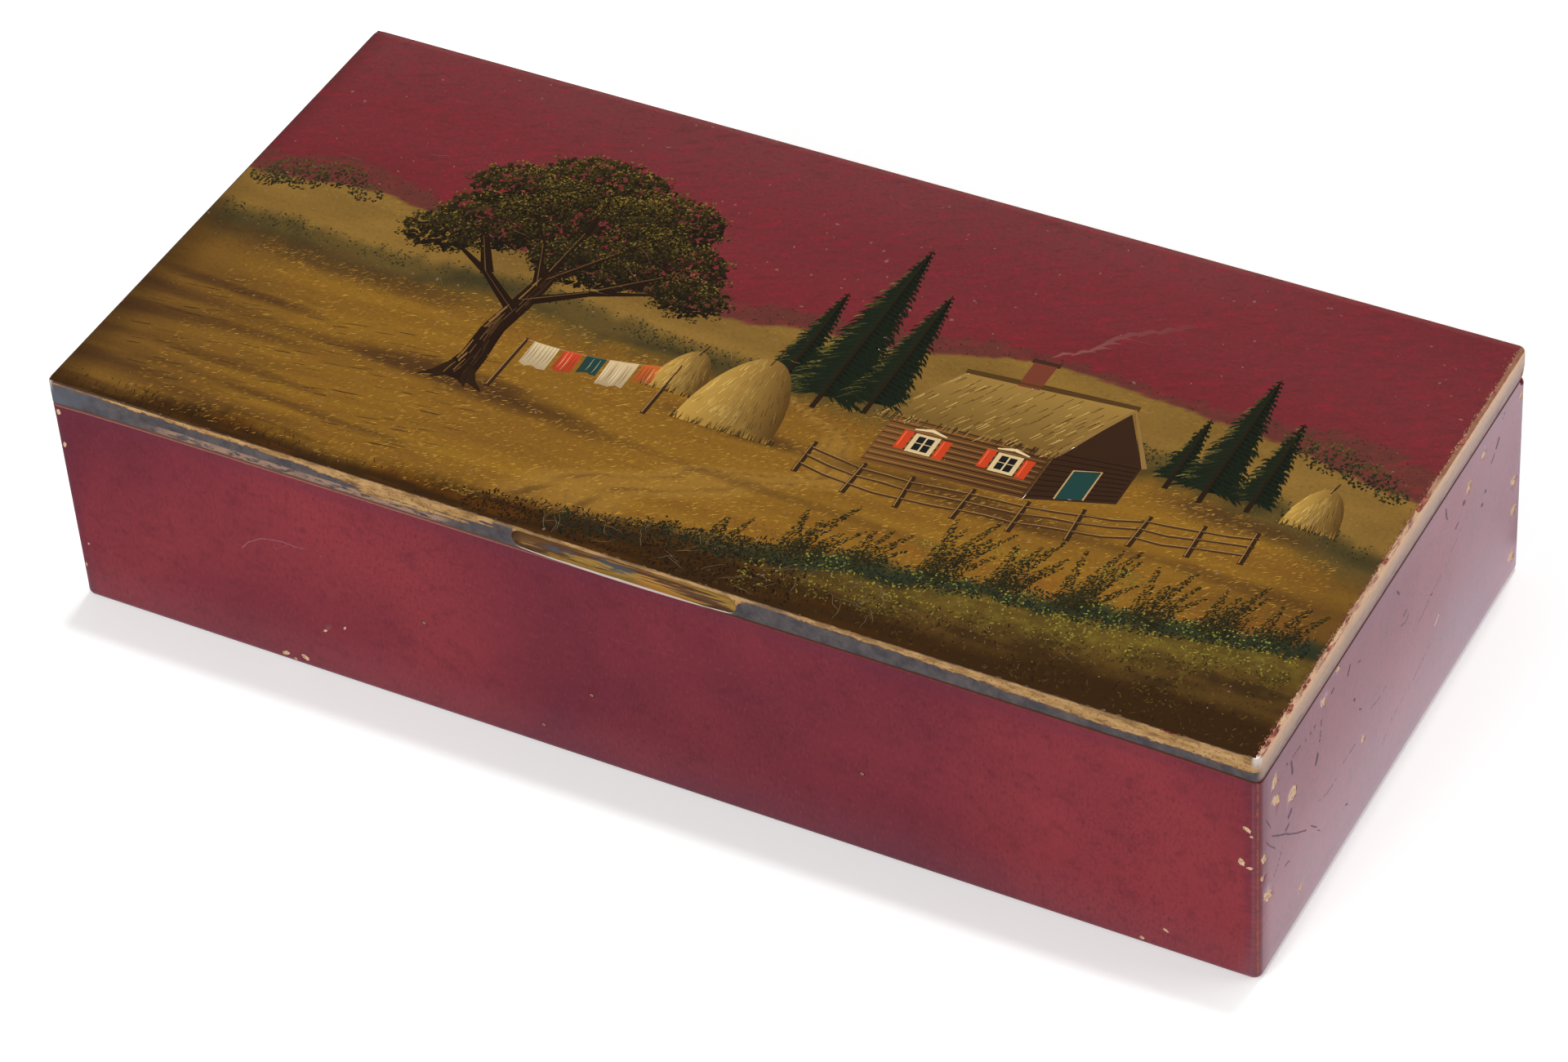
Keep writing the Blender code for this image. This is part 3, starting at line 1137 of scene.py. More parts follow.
        # On the right and back edges the tone runs with height, from dark mauve low down to cream
        # at the top, streaked.
        side_tone = desk.add(height, desk.swing(flakes, 0.5), desk.swing(streaks, 0.9))
        side = desk.stops(
            side_tone,
            [(0.0, self.mauve_dark), (0.2, self.mauve), (0.5, self.tan), (0.85, self.cream)]
        )
        side = desk.lay(side, self.mauve, specks, 0.3)
        side = desk.lay(side, self.mauve_dark, desk.rise(streaks, 0.54, 0.64), 0.3)
        turned = desk.most(right, back * 0.5) * desk.rise(
            y * -1.0, HALF_Y - 0.2 * MM, HALF_Y - 0.9 * MM
        )
        colour = desk.mix(turned, colour, side)

        up = z + desk.swing(flakes, 0.16 * MM)
        # Painted highlight along the rounded top edge: pale gold at the front, cream on the right
        # and back, weaker at the left end.
        arris_highlight = desk.mix(desk.rise(tone, 0.42, 0.62), self.old_gold, self.highlight_gold)
        arris_highlight = desk.mix(desk.most(right, back * 0.4), arris_highlight, self.cream)
        kept = 0.25 + desk.rise(x, -72 * MM, -52 * MM) * 0.45
        colour = desk.lay(colour, arris_highlight, desk.rise(up, TOP_Z - 0.5 * MM, TOP_Z - 0.42 * MM), kept)
        ragged = desk.streaks((1500, 300, 500), 4.0, 0.7)
        chipped = desk.stops(
            ragged, [(0.34, self.red_brown), (0.46, self.rose), (0.56, self.cream)]
        )
        chipped = desk.lay(chipped, self.orange_brown, desk.rise(y, 8 * MM, 20 * MM), 0.8)
        line = desk.mix(
            desk.rise(x, HALF_X - 1.3 * MM, HALF_X - 0.95 * MM), self.edge_line_and_seam_shade, chipped
        )
        ends = desk.most(
            desk.rise(x, HALF_X - 1.3 * MM, HALF_X - 0.95 * MM),
            desk.rise(x, -62 * MM, -82 * MM) * 0.6
        )
        drawn = up + ends * (0.14 * MM)
        colour = desk.lay(colour, line, desk.rise(drawn, TOP_Z - 0.16 * MM, TOP_Z - 0.1 * MM), 0.9)
        # Painted highlight, near white and streaked, along the lower lip of the thumb grip.
        nose = desk.rise(y * -1.0, HALF_Y + 0.02 * MM, HALF_Y + 0.1 * MM)
        glint_streaks = desk.rise(desk.streaks((160, 3000, 3000), 3.0, 0.6), 0.22, 0.5)
        colour = desk.lay(colour, self.glint_white, nose, 0.4 + glint_streaks * 0.6)
        # Painted highlight, near white, high on the front corners, stronger on the right.
        tip = desk.least(
            desk.rise(desk.math("ABSOLUTE", x), HALF_X - 1.5 * MM, HALF_X - 0.7 * MM),
            desk.rise(y * -1.0, HALF_Y - 1.5 * MM, HALF_Y - 0.7 * MM)
        )
        tip = desk.times(tip, desk.rise(height, 0.5, 0.9), 0.8 + x * (0.2 / HALF_X))
        colour = desk.mix(tip, colour, self.glint_white)
        # Painted shade along the lower edge, where the lid meets the walls, darker right of the
        # middle.
        seam_shade = desk.rise(height, 0.1, 0.03) * (1.0 - nose)
        dark = 0.1 + desk.rise(x, -25 * MM, 15 * MM) * 0.4
        colour = desk.lay(colour, self.edge_line_and_seam_shade, seam_shade, dark)

        # The painted highlights of the lip and corners are also a little metallic and smoother.
        bare = desk.most(nose, tip)
        desk.set(Base_Color=colour, Metallic=gilt * 0.15 + bare * 0.15)
        desk.set(Roughness=0.42 + flakes * 0.2 - bare * 0.2)
        desk.set(Specular_IOR_Level=0.4, Coat_Weight=0.25, Coat_Roughness=0.2)
        desk.bump(desk.add(gilt * 0.7, low * 0.4, specks * -0.3, flakes * 0.5), 0.03 * MM)
        return desk.material


@dataclass(frozen=True)
class RubbedScoop:
    """Thumb scoop worn in long streaks through gold and brown to the grey ground; its lip has a
    painted highlight.
    """

    name: str = "rubbed_scoop"
    gold: Colour = seen(164, 126, 56)
    mustard: Colour = seen(138, 106, 44)
    orange: Colour = seen(178, 122, 50)
    brown: Colour = seen(92, 66, 42)
    red_brown: Colour = seen(84, 48, 34)
    grey: Colour = under_varnish(78, 78, 84)
    glint_white: Colour = seen(236, 222, 214)

    def material(self) -> bpy.types.Material:
        """Write the scoop's nodes.

        Returns:
            The material.
        """
        desk = PaintDesk(self.name)
        x, y, z = desk.split(desk.place)
        bend = x * x * 5.0
        level = (z + bend - (LID_Z + 1.0 * MM)) * (1 / (3.6 * MM))
        streak = desk.streaks((46, 820, 820), 4.0, 0.6, 0.25, shift=(0.4, 0, 0.2))
        grain = desk.streaks((420, 3600, 3600), 3.0, 0.65)
        hair = desk.streaks((90, 3200, 3200), 3.0, 0.6, 0.2, turn=(0, 1, 0), shift=(1.2, 0, 0.7))
        mixed = desk.add(
            level, desk.swing(streak, 1.2), desk.swing(hair, 0.9), desk.swing(grain, 0.3)
        )
        bands = [
            (0.06, self.mustard), (0.2, self.gold), (0.3, self.mustard), (0.36, self.brown),
            (0.44, self.red_brown), (0.52, self.brown), (0.62, self.red_brown), (0.7, self.mustard),
            (0.82, self.gold), (0.95, self.mustard)
        ]
        colour = desk.stops(mixed, bands)
        amber = desk.band(x, 4 * MM, 13 * MM, 3 * MM) * desk.rise(mixed, 0.34, 0.24)
        colour = desk.lay(colour, self.orange, amber, 0.7)
        upper = desk.rise(level + desk.swing(hair, 0.4), 0.56, 0.7) * desk.rise(x, 9 * MM, 0.0)
        colour = desk.lay(colour, self.red_brown, upper, 0.8)
        spots = desk.streaks((120, 900, 900), 4.0, 0.6, 0.3, shift=(2, 1, 3))
        bare = desk.times(
            desk.rise(spots, 0.5, 0.54), desk.band(x, -13 * MM, 0.5 * MM, 2 * MM),
            desk.band(level, 0.22, 0.6, 0.1)
        )
        colour = desk.mix(bare, colour, self.grey)
        # Painted highlight, near white, along the lower front edge of the lip.
        ahead = y * -1.0 + grain * (0.12 * MM)
        lip_highlight = desk.rise(ahead, HALF_Y + 0.24 * MM, HALF_Y + 0.36 * MM)
        lip_highlight = lip_highlight * desk.rise(z, LID_Z + 2.2 * MM, LID_Z + 1.6 * MM)
        colour = desk.mix(lip_highlight, colour, self.glint_white)
        desk.set(Base_Color=colour, Roughness=0.36 + grain * 0.2)
        desk.set(Metallic=0.05, Specular_IOR_Level=0.3, Coat_Weight=0.3, Coat_Roughness=0.2)
        desk.bump(mixed + grain * 0.5, 0.06 * MM)
        return desk.material


@dataclass(frozen=True)
class PictureGround:
    """Varnished landscape ground: the mesh carries its tones and the nodes its brushwork."""

    name: str = "picture_ground"
    dust: Colour = under_varnish(150, 112, 96)
    dark: Colour = under_varnish(54, 34, 24)
    crimson: Colour = under_varnish(152, 40, 54)
    dusky: Colour = under_varnish(92, 46, 48)

    def material(self) -> bpy.types.Material:
        """Write the picture's nodes.

        Returns:
            The material.
        """
        desk = PaintDesk(self.name)
        x, y, z = desk.split(desk.place)
        colour = desk.attribute(PAINT)
        near = desk.rise(y, -34 * MM, -50 * MM) * desk.rise(x, 10 * MM, -70 * MM)
        hairs = desk.streaks((60, 1300, 1), 4.0, 0.65, 0.4, turn=(0, 0, 4))
        colour = desk.lay(colour, self.dark, desk.rise(hairs, 0.52, 0.72), 0.08 + near * 0.5)
        weave = desk.cloud(1500.0, 4.0, 0.7)
        colour = desk.lay(colour, self.dark, desk.rise(weave, 0.5, 0.78), 0.34)
        colour = desk.mix(desk.rise(weave, 0.46, 0.28) * 0.3, colour, (1.0, 0.8, 0.6), "SOFT_LIGHT")
        red, green, blue = desk.split(desk.attribute(PAINT))
        sky = desk.rise(green - red * 0.36, 0.0, -0.012)
        brushed = desk.streaks((230, 900, 1), 4.0, 0.62, 0.5, turn=(0, 0, -28))
        colour = desk.lay(colour, self.crimson, sky, desk.rise(brushed, 0.52, 0.72), 0.5)
        colour = desk.lay(colour, self.dusky, sky, desk.rise(brushed, 0.47, 0.3), 0.4)
        specks = desk.rise(desk.cloud(900.0, 1.0, 0.3), 0.77, 0.79)
        colour = desk.lay(colour, self.dust, specks, 0.6)
        desk.set(Base_Color=colour, Roughness=0.26 + weave * 0.14)
        desk.set(Specular_IOR_Level=0.1, Coat_Weight=0.6, Coat_Roughness=0.08)
        desk.bump(weave, 0.006 * MM)
        desk.bump(desk.cloud(45.0, 2.0), 0.03 * MM)
        return desk.material


@dataclass(frozen=True)
class BrushPaint:
    """Paint of single brush strokes, each in the tone that its mesh carries."""

    name: str = "brush_paint"
    coat: float = 0.5

    def material(self) -> bpy.types.Material:
        """Write the paint's nodes.

        Returns:
            The material.
        """
        desk = PaintDesk(self.name)
        grain = desk.cloud(1500.0, 2.0, 0.6)
        desk.set(Base_Color=desk.attribute(PAINT), Roughness=0.3 + grain * 0.15)
        desk.set(Specular_IOR_Level=0.1, Coat_Weight=self.coat, Coat_Roughness=0.1)
        desk.bump(grain, 0.006 * MM)
        return desk.material


@dataclass(frozen=True)
class LiningLacquer:
    """Warm red lacquer of the inside, with fine specks and rubbed places."""

    name: str = "lining_lacquer"
    deep: Colour = under_varnish(128, 34, 32)
    warm: Colour = under_varnish(158, 48, 40)
    rubbed: Colour = under_varnish(112, 52, 46)

    def material(self) -> bpy.types.Material:
        """Write the lining's nodes.

        Returns:
            The material.
        """
        desk = PaintDesk(self.name)
        clouds = desk.cloud(24.0, 4.0, 0.6, 0.3)
        colour = desk.stops(clouds, [(0.35, self.deep), (0.65, self.warm)])
        colour = desk.lay(colour, self.rubbed, desk.rise(desk.cloud(800.0, 2.0), 0.62, 0.7), 0.5)
        lines = desk.scratches((0, 0, 12), 9.0 * MM, 0.09 * MM, 0.35)
        colour = desk.lay(colour, self.rubbed, lines, 0.4)
        desk.set(Base_Color=colour, Roughness=0.3 + clouds * 0.2)
        desk.set(Specular_IOR_Level=0.35, Coat_Weight=0.5, Coat_Roughness=0.16)
        desk.bump(desk.cloud(150.0, 3.0) + lines * -0.3, 0.04 * MM)
        return desk.material


@dataclass(frozen=True)
class OldMetal:
    """Metal with a thin tarnish, bright where it rubs."""

    name: str
    bright: Colour
    tarnish: Colour
    roughness: float = 0.3

    def material(self) -> bpy.types.Material:
        """Write the metal's nodes.

        Returns:
            The material.
        """
        desk = PaintDesk(self.name)
        stain = desk.cloud(420.0, 4.0, 0.65)
        colour = desk.stops(stain, [(0.38, self.bright), (0.66, self.tarnish)])
        desk.set(Base_Color=colour, Metallic=1.0, Roughness=self.roughness + stain * 0.25)
        drawn = desk.streaks((200, 5000, 5000), 2.0)
        desk.bump(drawn, 0.01 * MM)
        return desk.material


def made_by(write: Callable[[], bpy.types.Material]) -> bpy.types.Material:
    """Return a field that holds the material that `write` makes."""
    return field(default_factory=write)


@dataclass(frozen=True)
class Finishes:
    """Every material of the box."""

    lacquer: bpy.types.Material = made_by(RedLacquer().material)
    board: bpy.types.Material = made_by(BareBoard().material)
    ground: bpy.types.Material = made_by(RedGround().material)
    gilt: bpy.types.Material = made_by(GiltEdge().material)
    scoop: bpy.types.Material = made_by(RubbedScoop().material)
    picture: bpy.types.Material = made_by(PictureGround().material)
    strokes: bpy.types.Material = made_by(BrushPaint().material)
    scratched: bpy.types.Material = made_by(BrushPaint("scratched_lacquer", 0.1).material)
    lining: bpy.types.Material = made_by(LiningLacquer().material)
    brass: bpy.types.Material = made_by(
        OldMetal("aged_brass", seen(198, 160, 98), seen(118, 92, 58)).material
    )
    wire: bpy.types.Material = made_by(
        OldMetal("iron_wire", seen(150, 146, 142), seen(92, 84, 76), 0.4).material
    )


# The case


class Side(Enum):
    """Outside faces of the walls: start of the foot, way along and way out, in half sizes."""

    FRONT = ((-1, -1), (1, 0), (0, -1))
    RIGHT = ((1, -1), (0, 1), (1, 0))
    BACK = ((-1, 1), (1, 0), (0, 1))
    LEFT = ((-1, -1), (0, 1), (-1, 0))

    @property
    def ways(self) -> tuple[Vector, Vector]:
        """Unit vectors along the face and out of it."""
        return Vector((*self.value[1], 0)), Vector((*self.value[2], 0))

    def place(self, along: float, up: float, out: float = 0.0) -> Vector:
        """Return a point on or off this face, from lengths in millimetres.

        Args:
            along: Way along the face.
            up: Height.
            out: Way out of the face.

        Returns:
            The point in metres.
        """
        x, y = self.value[0]
        run, way = self.ways
        return Vector((x * HALF_X, y * HALF_Y, up * MM)) + run * along * MM + way * out * MM


@dataclass(frozen=True)
class Chip:
    """Place where the lacquer has chipped off an outside face, in millimetres and degrees."""

    side: Side
    along: float
    up: float
    length: float
    width: float
    turn: float = 0.0
    depth: float = 0.16


@dataclass(frozen=True)
class Scratch:
    """Line scratched into an outside face, through its (along, up) points in millimetres."""

    side: Side
    points: tuple[Spot, ...]
    width: float
    dotted: bool = False
    tone: Colour = (92, 58, 68)


CHIPS = (
    (
        Side.FRONT,
        (
            (38.8, 1.7, 1.5, 0.9, 20), (42.6, 2.2, 1.4, 0.9, -30), (40.6, 1.2, 0.6, 0.5),
            (47.4, 9.8, 0.8, 0.45, 35), (51.3, 11.8, 0.9, 0.4, 60), (190.7, 1.5, 0.9, 0.6),
            (194.7, 4.7, 1.1, 0.5, -35), (208.0, 31.4, 1.6, 0.8, -35), (207.1, 24.4, 1.6, 1.0, -70),
            (208.4, 23.6, 1.1, 0.6, 10), (208.7, 30.2, 0.6, 0.5, 10), (1.5, 39.8, 1.2, 0.8, 80),
            (1.4, 32.9, 1.2, 0.7, 75), (1.0, 7.0, 1.0, 0.5, 85), (2.4, 12.0, 0.5, 0.4, 85),
        )
    ),
    (
        Side.RIGHT,
        (
            (5.5, 37.2, 2.3, 2.0, 80), (6.0, 32.9, 3.3, 1.8, -42), (12.0, 29.0, 3.3, 2.7, -30),
            (1.7, 24.7, 2.0, 1.5, -45), (1.1, 21.1, 1.4, 1.0, -45), (3.1, 15.8, 3.5, 1.8, -35),
            (23.0, 37.9, 1.8, 1.6, 10), (28.4, 40.0, 1.5, 1.0, -20), (38.4, 16.9, 2.0, 1.3, -38),
            (15.2, 6.2, 1.5, 1.3, 60, 0.1), (78.9, 35.4, 2.4, 1.7, 30), (84.6, 37.4, 1.6, 1.1, -15),
            (98.0, 21.3, 2.0, 1.7, -40, 0.1), (98.5, 14.7, 2.3, 2.0, -20),
            (98.4, 4.9, 2.7, 1.8, -50), (100.0, 37.6, 1.6, 1.3, 0), (0.7, 30.4, 1.2, 0.6, 85),
            (0.6, 9.0, 1.4, 0.6, 85),
        )
    ),
    (
        Side.LEFT,
        (
            (4.2, 20.0, 1.4, 0.8, 70), (30.0, 3.0, 1.2, 0.7, 15), (71.0, 33.0, 0.9, 0.5, 60),
            (97.8, 12.0, 1.3, 0.7, 80),
        )
    ),
    (
        Side.BACK,
        (
            (12.0, 6.0, 1.3, 0.7, 20), (88.0, 1.4, 1.3, 0.8, 5), (149.0, 21.0, 0.8, 0.5, -40),
            (207.5, 17.0, 1.3, 0.6, 75),
        )
    ),
)
SCRATCHES = (
    (
        Side.RIGHT,
        (
            (((4.6, 26.7), (8.6, 23.5), (11.8, 20.7), (14, 18.9), (17.1, 16.7)), 0.34),
            (((18.9, 16), (21.1, 13.7)), 0.3), (((21.4, 12.8), (22.4, 11.8)), 0.2),
            (((2.7, 27), (5.7, 23.2)), 0.24), (((2.5, 32), (4.1, 29)), 0.3),
            (((11.4, 36), (12, 33)), 0.8), (((10.4, 25.2), (11.8, 26)), 0.9),
            (((9.4, 23.4), (10.8, 23.8)), 0.7),
            (((9, 36.8), (12, 36.4), (15, 36.2), (17.5, 35.4), (20.5, 35.6)), 0.6, True),
            (((22.4, 34.8), (22.2, 32), (20.9, 28.6)), 0.6, True),
            (((20.4, 27.2), (21.2, 28.8)), 1.0), (((32, 35.4), (33, 37)), 0.9),
            (((26, 37), (27, 37.4)), 0.6), (((36, 34.8), (37, 34.4)), 0.4),
            (((34.5, 28.5), (35.1, 27.8)), 0.5), (((36.8, 24.5), (37.5, 23.9)), 0.34),
            (((8.6, 21), (6.8, 19), (5, 17.5)), 0.3, True), (((9.4, 16.2), (11, 15.8)), 0.4),
            (((32, 8.6), (32.9, 8)), 0.34),
            (((22, 18.5), (25, 17.4), (28.6, 17.5), (31, 18.4), (35.7, 18.5)), 0.34, True),
            (((41.4, 20.7), (44.5, 20.2), (47.5, 20.4)), 0.26, True),
            (
                ((57.4, 23.3), (61, 23.3), (64.8, 24.9), (67.8, 25.6), (72.2, 27.4), (78.9, 29.5)),
                0.22, True
            ),
            (((64.1, 25), (65, 24.6)), 0.5), (((69.6, 39), (69.8, 36.4), (71.4, 34.2)), 0.5, True),
            (((69.6, 38.4), (69.9, 36)), 0.5), (((73.6, 30.8), (75, 31.2)), 0.5),
            (((76.5, 33.7), (77.5, 33.4)), 1.0), (((85.6, 28.9), (86.3, 28.6)), 0.7),
            (((84.4, 26.9), (85.2, 26.7)), 0.8), (((89.8, 34.4), (91.2, 35.8)), 1.0),
            (((88, 32.8), (89.4, 33.8)), 0.5), (((91, 37.6), (93.4, 39.6)), 0.4, True),
            (((50.6, 37), (51.6, 35.6)), 0.5),
            (((66.2, 16.7), (67.9, 17.8)), 0.3, False, (226, 206, 206)),
            (((46, 9), (50, 11.5), (57, 12.2), (66, 14.8)), 0.14, True),
            (((52.6, 28.3), (54.4, 27.5), (55.6, 28.2)), 0.5, False, (118, 84, 92)),
            (((53.4, 29.6), (54.8, 29.8)), 0.9, False, (128, 92, 100)),
        )
    ),
    (
        Side.FRONT,
        (
            (
                ((33.6, 22.6), (35.0, 24.3), (37.7, 26), (41, 26.7), (45.4, 26.6)), 0.13, False,
                (142, 104, 108)
            ),
            (((39.6, 24.2), (42.2, 26.1), (46.0, 26.9), (49.5, 26.2)), 0.09, True, (146, 100, 104)),
            (((70, 31), (96, 28.6), (131, 29.8)), 0.05, True, (150, 92, 96)),
            (((108, 12), (123, 15.4), (152, 13.2)), 0.05, True, (98, 54, 62)),
        )
    ),
    (
        Side.LEFT,
        (
            (((12, 26), (34, 20), (61, 22)), 0.12, True, (84, 46, 56)),
            (((48, 33), (52, 27), (53, 22)), 0.16, False, (84, 46, 56)),
        )
    ),
    (
        Side.BACK,
        (
            (((40, 31), (78, 27), (120, 30)), 0.1, True, (84, 46, 56)),
            (((160, 12), (168, 17), (171, 24)), 0.15, False, (84, 46, 56)),
        )
    ),
)


def facing_front(out: Vector) -> float:
    """Return how far an outward direction faces the front, from 0 to 1."""
    return smooth(-out.y, 0.7, 1.0)


def seam_crown(point: Vector) -> float:
    """Return how far the seam of wall and lid stands up at a point, all along the front."""
    front = smooth(-point.y, *FRONT_WALL)
    return SEAM_BOW * front * max(0.0, 1 - (point.x / HALF_X) ** SEAM_BOW_POWER)


@dataclass
class PaperCase:
    """Walls wound from pasted paper, lacquered outside and lined inside.

    The material numbers of their faces are 0 for the lacquer and 1 for the bare board.
    """

    BOARD = 1

    finishes: Finishes
    corner_radius: float = 1.5 * MM
    foot_radius: float = 1.2 * MM
    rim_radius: float = 0.12 * MM
    front_ease: float = 0.08 * MM
    ease_height: float = 0.5 * MM
    front_rise: float = 0.06 * MM
    seam_reach: float = 9.0 * MM
    wall: float = 5.0 * MM
    rebate: float = 2.5 * MM
    rebate_top: float = 4.1 * MM
    sway: float = 0.06 * MM
    chips: tuple[Chip, ...] = tuple(Chip(side, *chip) for side, rows in CHIPS for chip in rows)
    scratches: tuple[Scratch, ...] = tuple(
        Scratch(side, *line) for side, rows in SCRATCHES for line in rows
    )
    scratch_lift: float = 0.016
    scratch_crown: float = 0.006
    spots: tuple[Spot, ...] = ((66.9, 18.9), (87.2, 4.8), (96.8, 14.9), (144.2, 17.0))

    def build(self) -> None:
        """Build the walls with their scratches and dress the floor and the lining."""
        walls = carve(
            self._walls(), [(groove_bar(), "DIFFERENCE"), (self._chip_tools(), "DIFFERENCE")]
        )
        finishes = self.finishes
        add_piece(
            "lacquered_walls", walls, Body.CASE, (finishes.lacquer, finishes.board),
            ("wall_frame",)
        )
        add_piece("wall_scratches", self._scratches(), Body.CASE, (finishes.scratched,))
        dress("floor_board", finishes.lining)
        for side in ("front", "right", "back", "left"):
            dress(f"liner_{side}", finishes.lining)

    def _sunk(self, point: Vector) -> float:
        """Return how far the uneven outside lies behind its true plane at a point."""
        edge = min(1.0, point.z / (4 * MM), (RIM_Z - point.z) / (3 * MM))
        return self.sway * (0.7 + 0.3 * noise.noise(point * 28.0)) * max(edge, 0.0)

    def _walls(self) -> bpy.types.Mesh:
        """Return the four walls as one closed band, a little uneven outside.

        Returns:
            The walls before anything is cut from them.
        """
        loop = PlanLoop(HALF_X, HALF_Y, self.corner_radius)
        section = [(inset, z, 1.0) for inset, z in reversed(rounding(self.foot_radius, 7))]
        levels = 18
        top = RIM_Z - self.rim_radius
        high = RIM_Z - 0.9 * MM
        section += [
            (0.0, self.foot_radius + (high - self.foot_radius) * i / levels, 1.0)
            for i in range(1, levels + 1)
        ]
        section += [
            (0.0, RIM_Z - drop * MM, 1.0) for drop in (0.6, 0.42, 0.3, 0.2)
        ] + [(0.0, top, 1.0)]
        section += [(inset, RIM_Z - drop, 1.0) for inset, drop in rounding(self.rim_radius, 3)[1:]]
        section += [
            (self.wall - 0.1 * MM, RIM_Z, 0.0), (self.wall, RIM_Z - 0.1 * MM, 0.0),
            (self.wall, self.rebate_top, 0.0)
        ]
        section += [
            (self.wall - self.rebate, self.rebate_top, 0.0), (self.wall - self.rebate, 0.0, 0.0)
        ]
        bm = bmesh.new()
        rows = []
        for inset, z, swaying in section:
            row = []
            for point, out in loop.ring(inset, z):
                in_front = facing_front(out)
                ease = self.front_ease * smooth(z, RIM_Z - self.ease_height, RIM_Z)
                ease = ease * in_front * swaying
                high_up = smooth(z, RIM_Z - self.seam_reach, RIM_Z)
                lift = seam_crown(point) * high_up
                lift += self.front_rise * in_front * swaying * high_up
                row.append(
                    bm.verts.new(
                        point - out * (self._sunk(point) * swaying + ease) + Vector((0, 0, lift))
                    )
                )
            rows.append(row)
        join_rings(bm, rows + rows[:1])
        return mesh_of("lacquered_walls", bm)

    def _chip_tools(self) -> bpy.types.Mesh:
        """Return rough lens shapes that scoop the chips out of the outside faces.

        Returns:
            The shapes as one mesh.
        """
        bm = bmesh.new()
        rng = random.Random(11)
        for chip in self.chips:
            run, out = chip.side.ways
            up = Vector((0, 0, 1))
            centre = chip.side.place(chip.along, chip.up, -0.03)
            angle = math.radians(chip.turn)
            long_way = math.cos(angle) * run + math.sin(angle) * up
            short_way = -math.sin(angle) * run + math.cos(angle) * up
            made = bmesh.ops.create_icosphere(bm, subdivisions=3, radius=1.0)["verts"]
            shift = rng.random() * 50
            for vert in made:
                local = vert.co.copy()
                ragged = 1 + 0.42 * noise.noise(local * 1.7 + Vector((shift, 0, 0)))
                vert.co = (
                    centre
                    + long_way * local.x * ragged * chip.length * MM / 2
                    + short_way * local.y * ragged * chip.width * MM / 2
                    + out * local.z * ragged * chip.depth * MM
                )
        bmesh.ops.recalc_face_normals(bm, faces=bm.faces)
        number_faces(bm, self.BOARD)
        return mesh_of("chips", bm)

    def _scratches(self) -> bpy.types.Mesh:
        """Return the scratches and the ringed spots as thin ribbons on the walls.

        Returns:
            The ribbons as one mesh.
        """
        book = StrokeBook("wall_scratches")
        rng = random.Random(17)
        for scratch in self.scratches:
            book.place = self._on(scratch.side)
            points = self._wavering(scratch.points, rng)
            if not scratch.dotted:
                widths = [scratch.width * rng.uniform(0.6, 1.1) for _ in points]
                book.stroke(points, widths, scratch.tone, self.scratch_lift, self.scratch_crown)
                continue
            for a, b in zip(points, points[1:]):
                if rng.random() < 0.6:
                    end = blended(rng.uniform(0.3, 0.8), a, b)
                    widths = [scratch.width, scratch.width * 0.5]
                    book.stroke(
                        [a, end], widths, scratch.tone, self.scratch_lift, self.scratch_crown
                    )
        book.place = self._on(Side.FRONT)
        for along, up in self.spots:
            for size, tone, lift in (
                (0.46, (74, 40, 44), 0.018), (0.3, (176, 128, 104), 0.022),
                (0.16, (96, 60, 56), 0.026)
            ):
                ring = [
                    (along + size * 1.2 * math.cos(a), up + size * math.sin(a))
                    for a in (k * math.tau / 9 for k in range(9))
                ]
                book.shape(ring, tone, lift, 0.03)
        return book.mesh()

    def _on(self, side: Side) -> Place:
        """Return the mapping of (along, up, lift), in millimetres, to a wall's uneven face.

        Args:
            side: The wall's side.

        Returns:
            The mapping.
        """
        out = side.ways[1]

        def place(along: float, up: float, lift: float) -> Vector:
            """Return the point that lies `lift` above the wall."""
            flat = side.place(along, up)
            return flat + out * (lift * MM - self._sunk(flat))

        return place

    @staticmethod
    def _wavering(line: Sequence[Spot], rng: random.Random) -> list[Spot]:
        """Return a line cut into short stretches that waver a little.

        Args:
            line: Its points, as (along, up).
            rng: Chance for the wavering.

        Returns:
            The new points.
        """
        points = []
        for (a0, b0), (a1, b1) in zip(line, line[1:]):
            count = max(1, round(math.hypot(a1 - a0, b1 - b0) / 0.8))
            points += [
                (
                    a0 + (a1 - a0) * i / count + rng.uniform(-0.07, 0.07),
                    b0 + (b1 - b0) * i / count + rng.uniform(-0.07, 0.07)
                )
                for i in range(count)
            ]
        return points + [line[-1]]


def dress(node: str, material: bpy.types.Material) -> None:
    """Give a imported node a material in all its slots.

    Args:
        node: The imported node's name.
        material: The material.
    """
    slots = frame["nodes"][node].material_slots
    for slot in slots:
        slot.material = material
    log.info("%s: dressed in %s", node, material.name)


# The lid


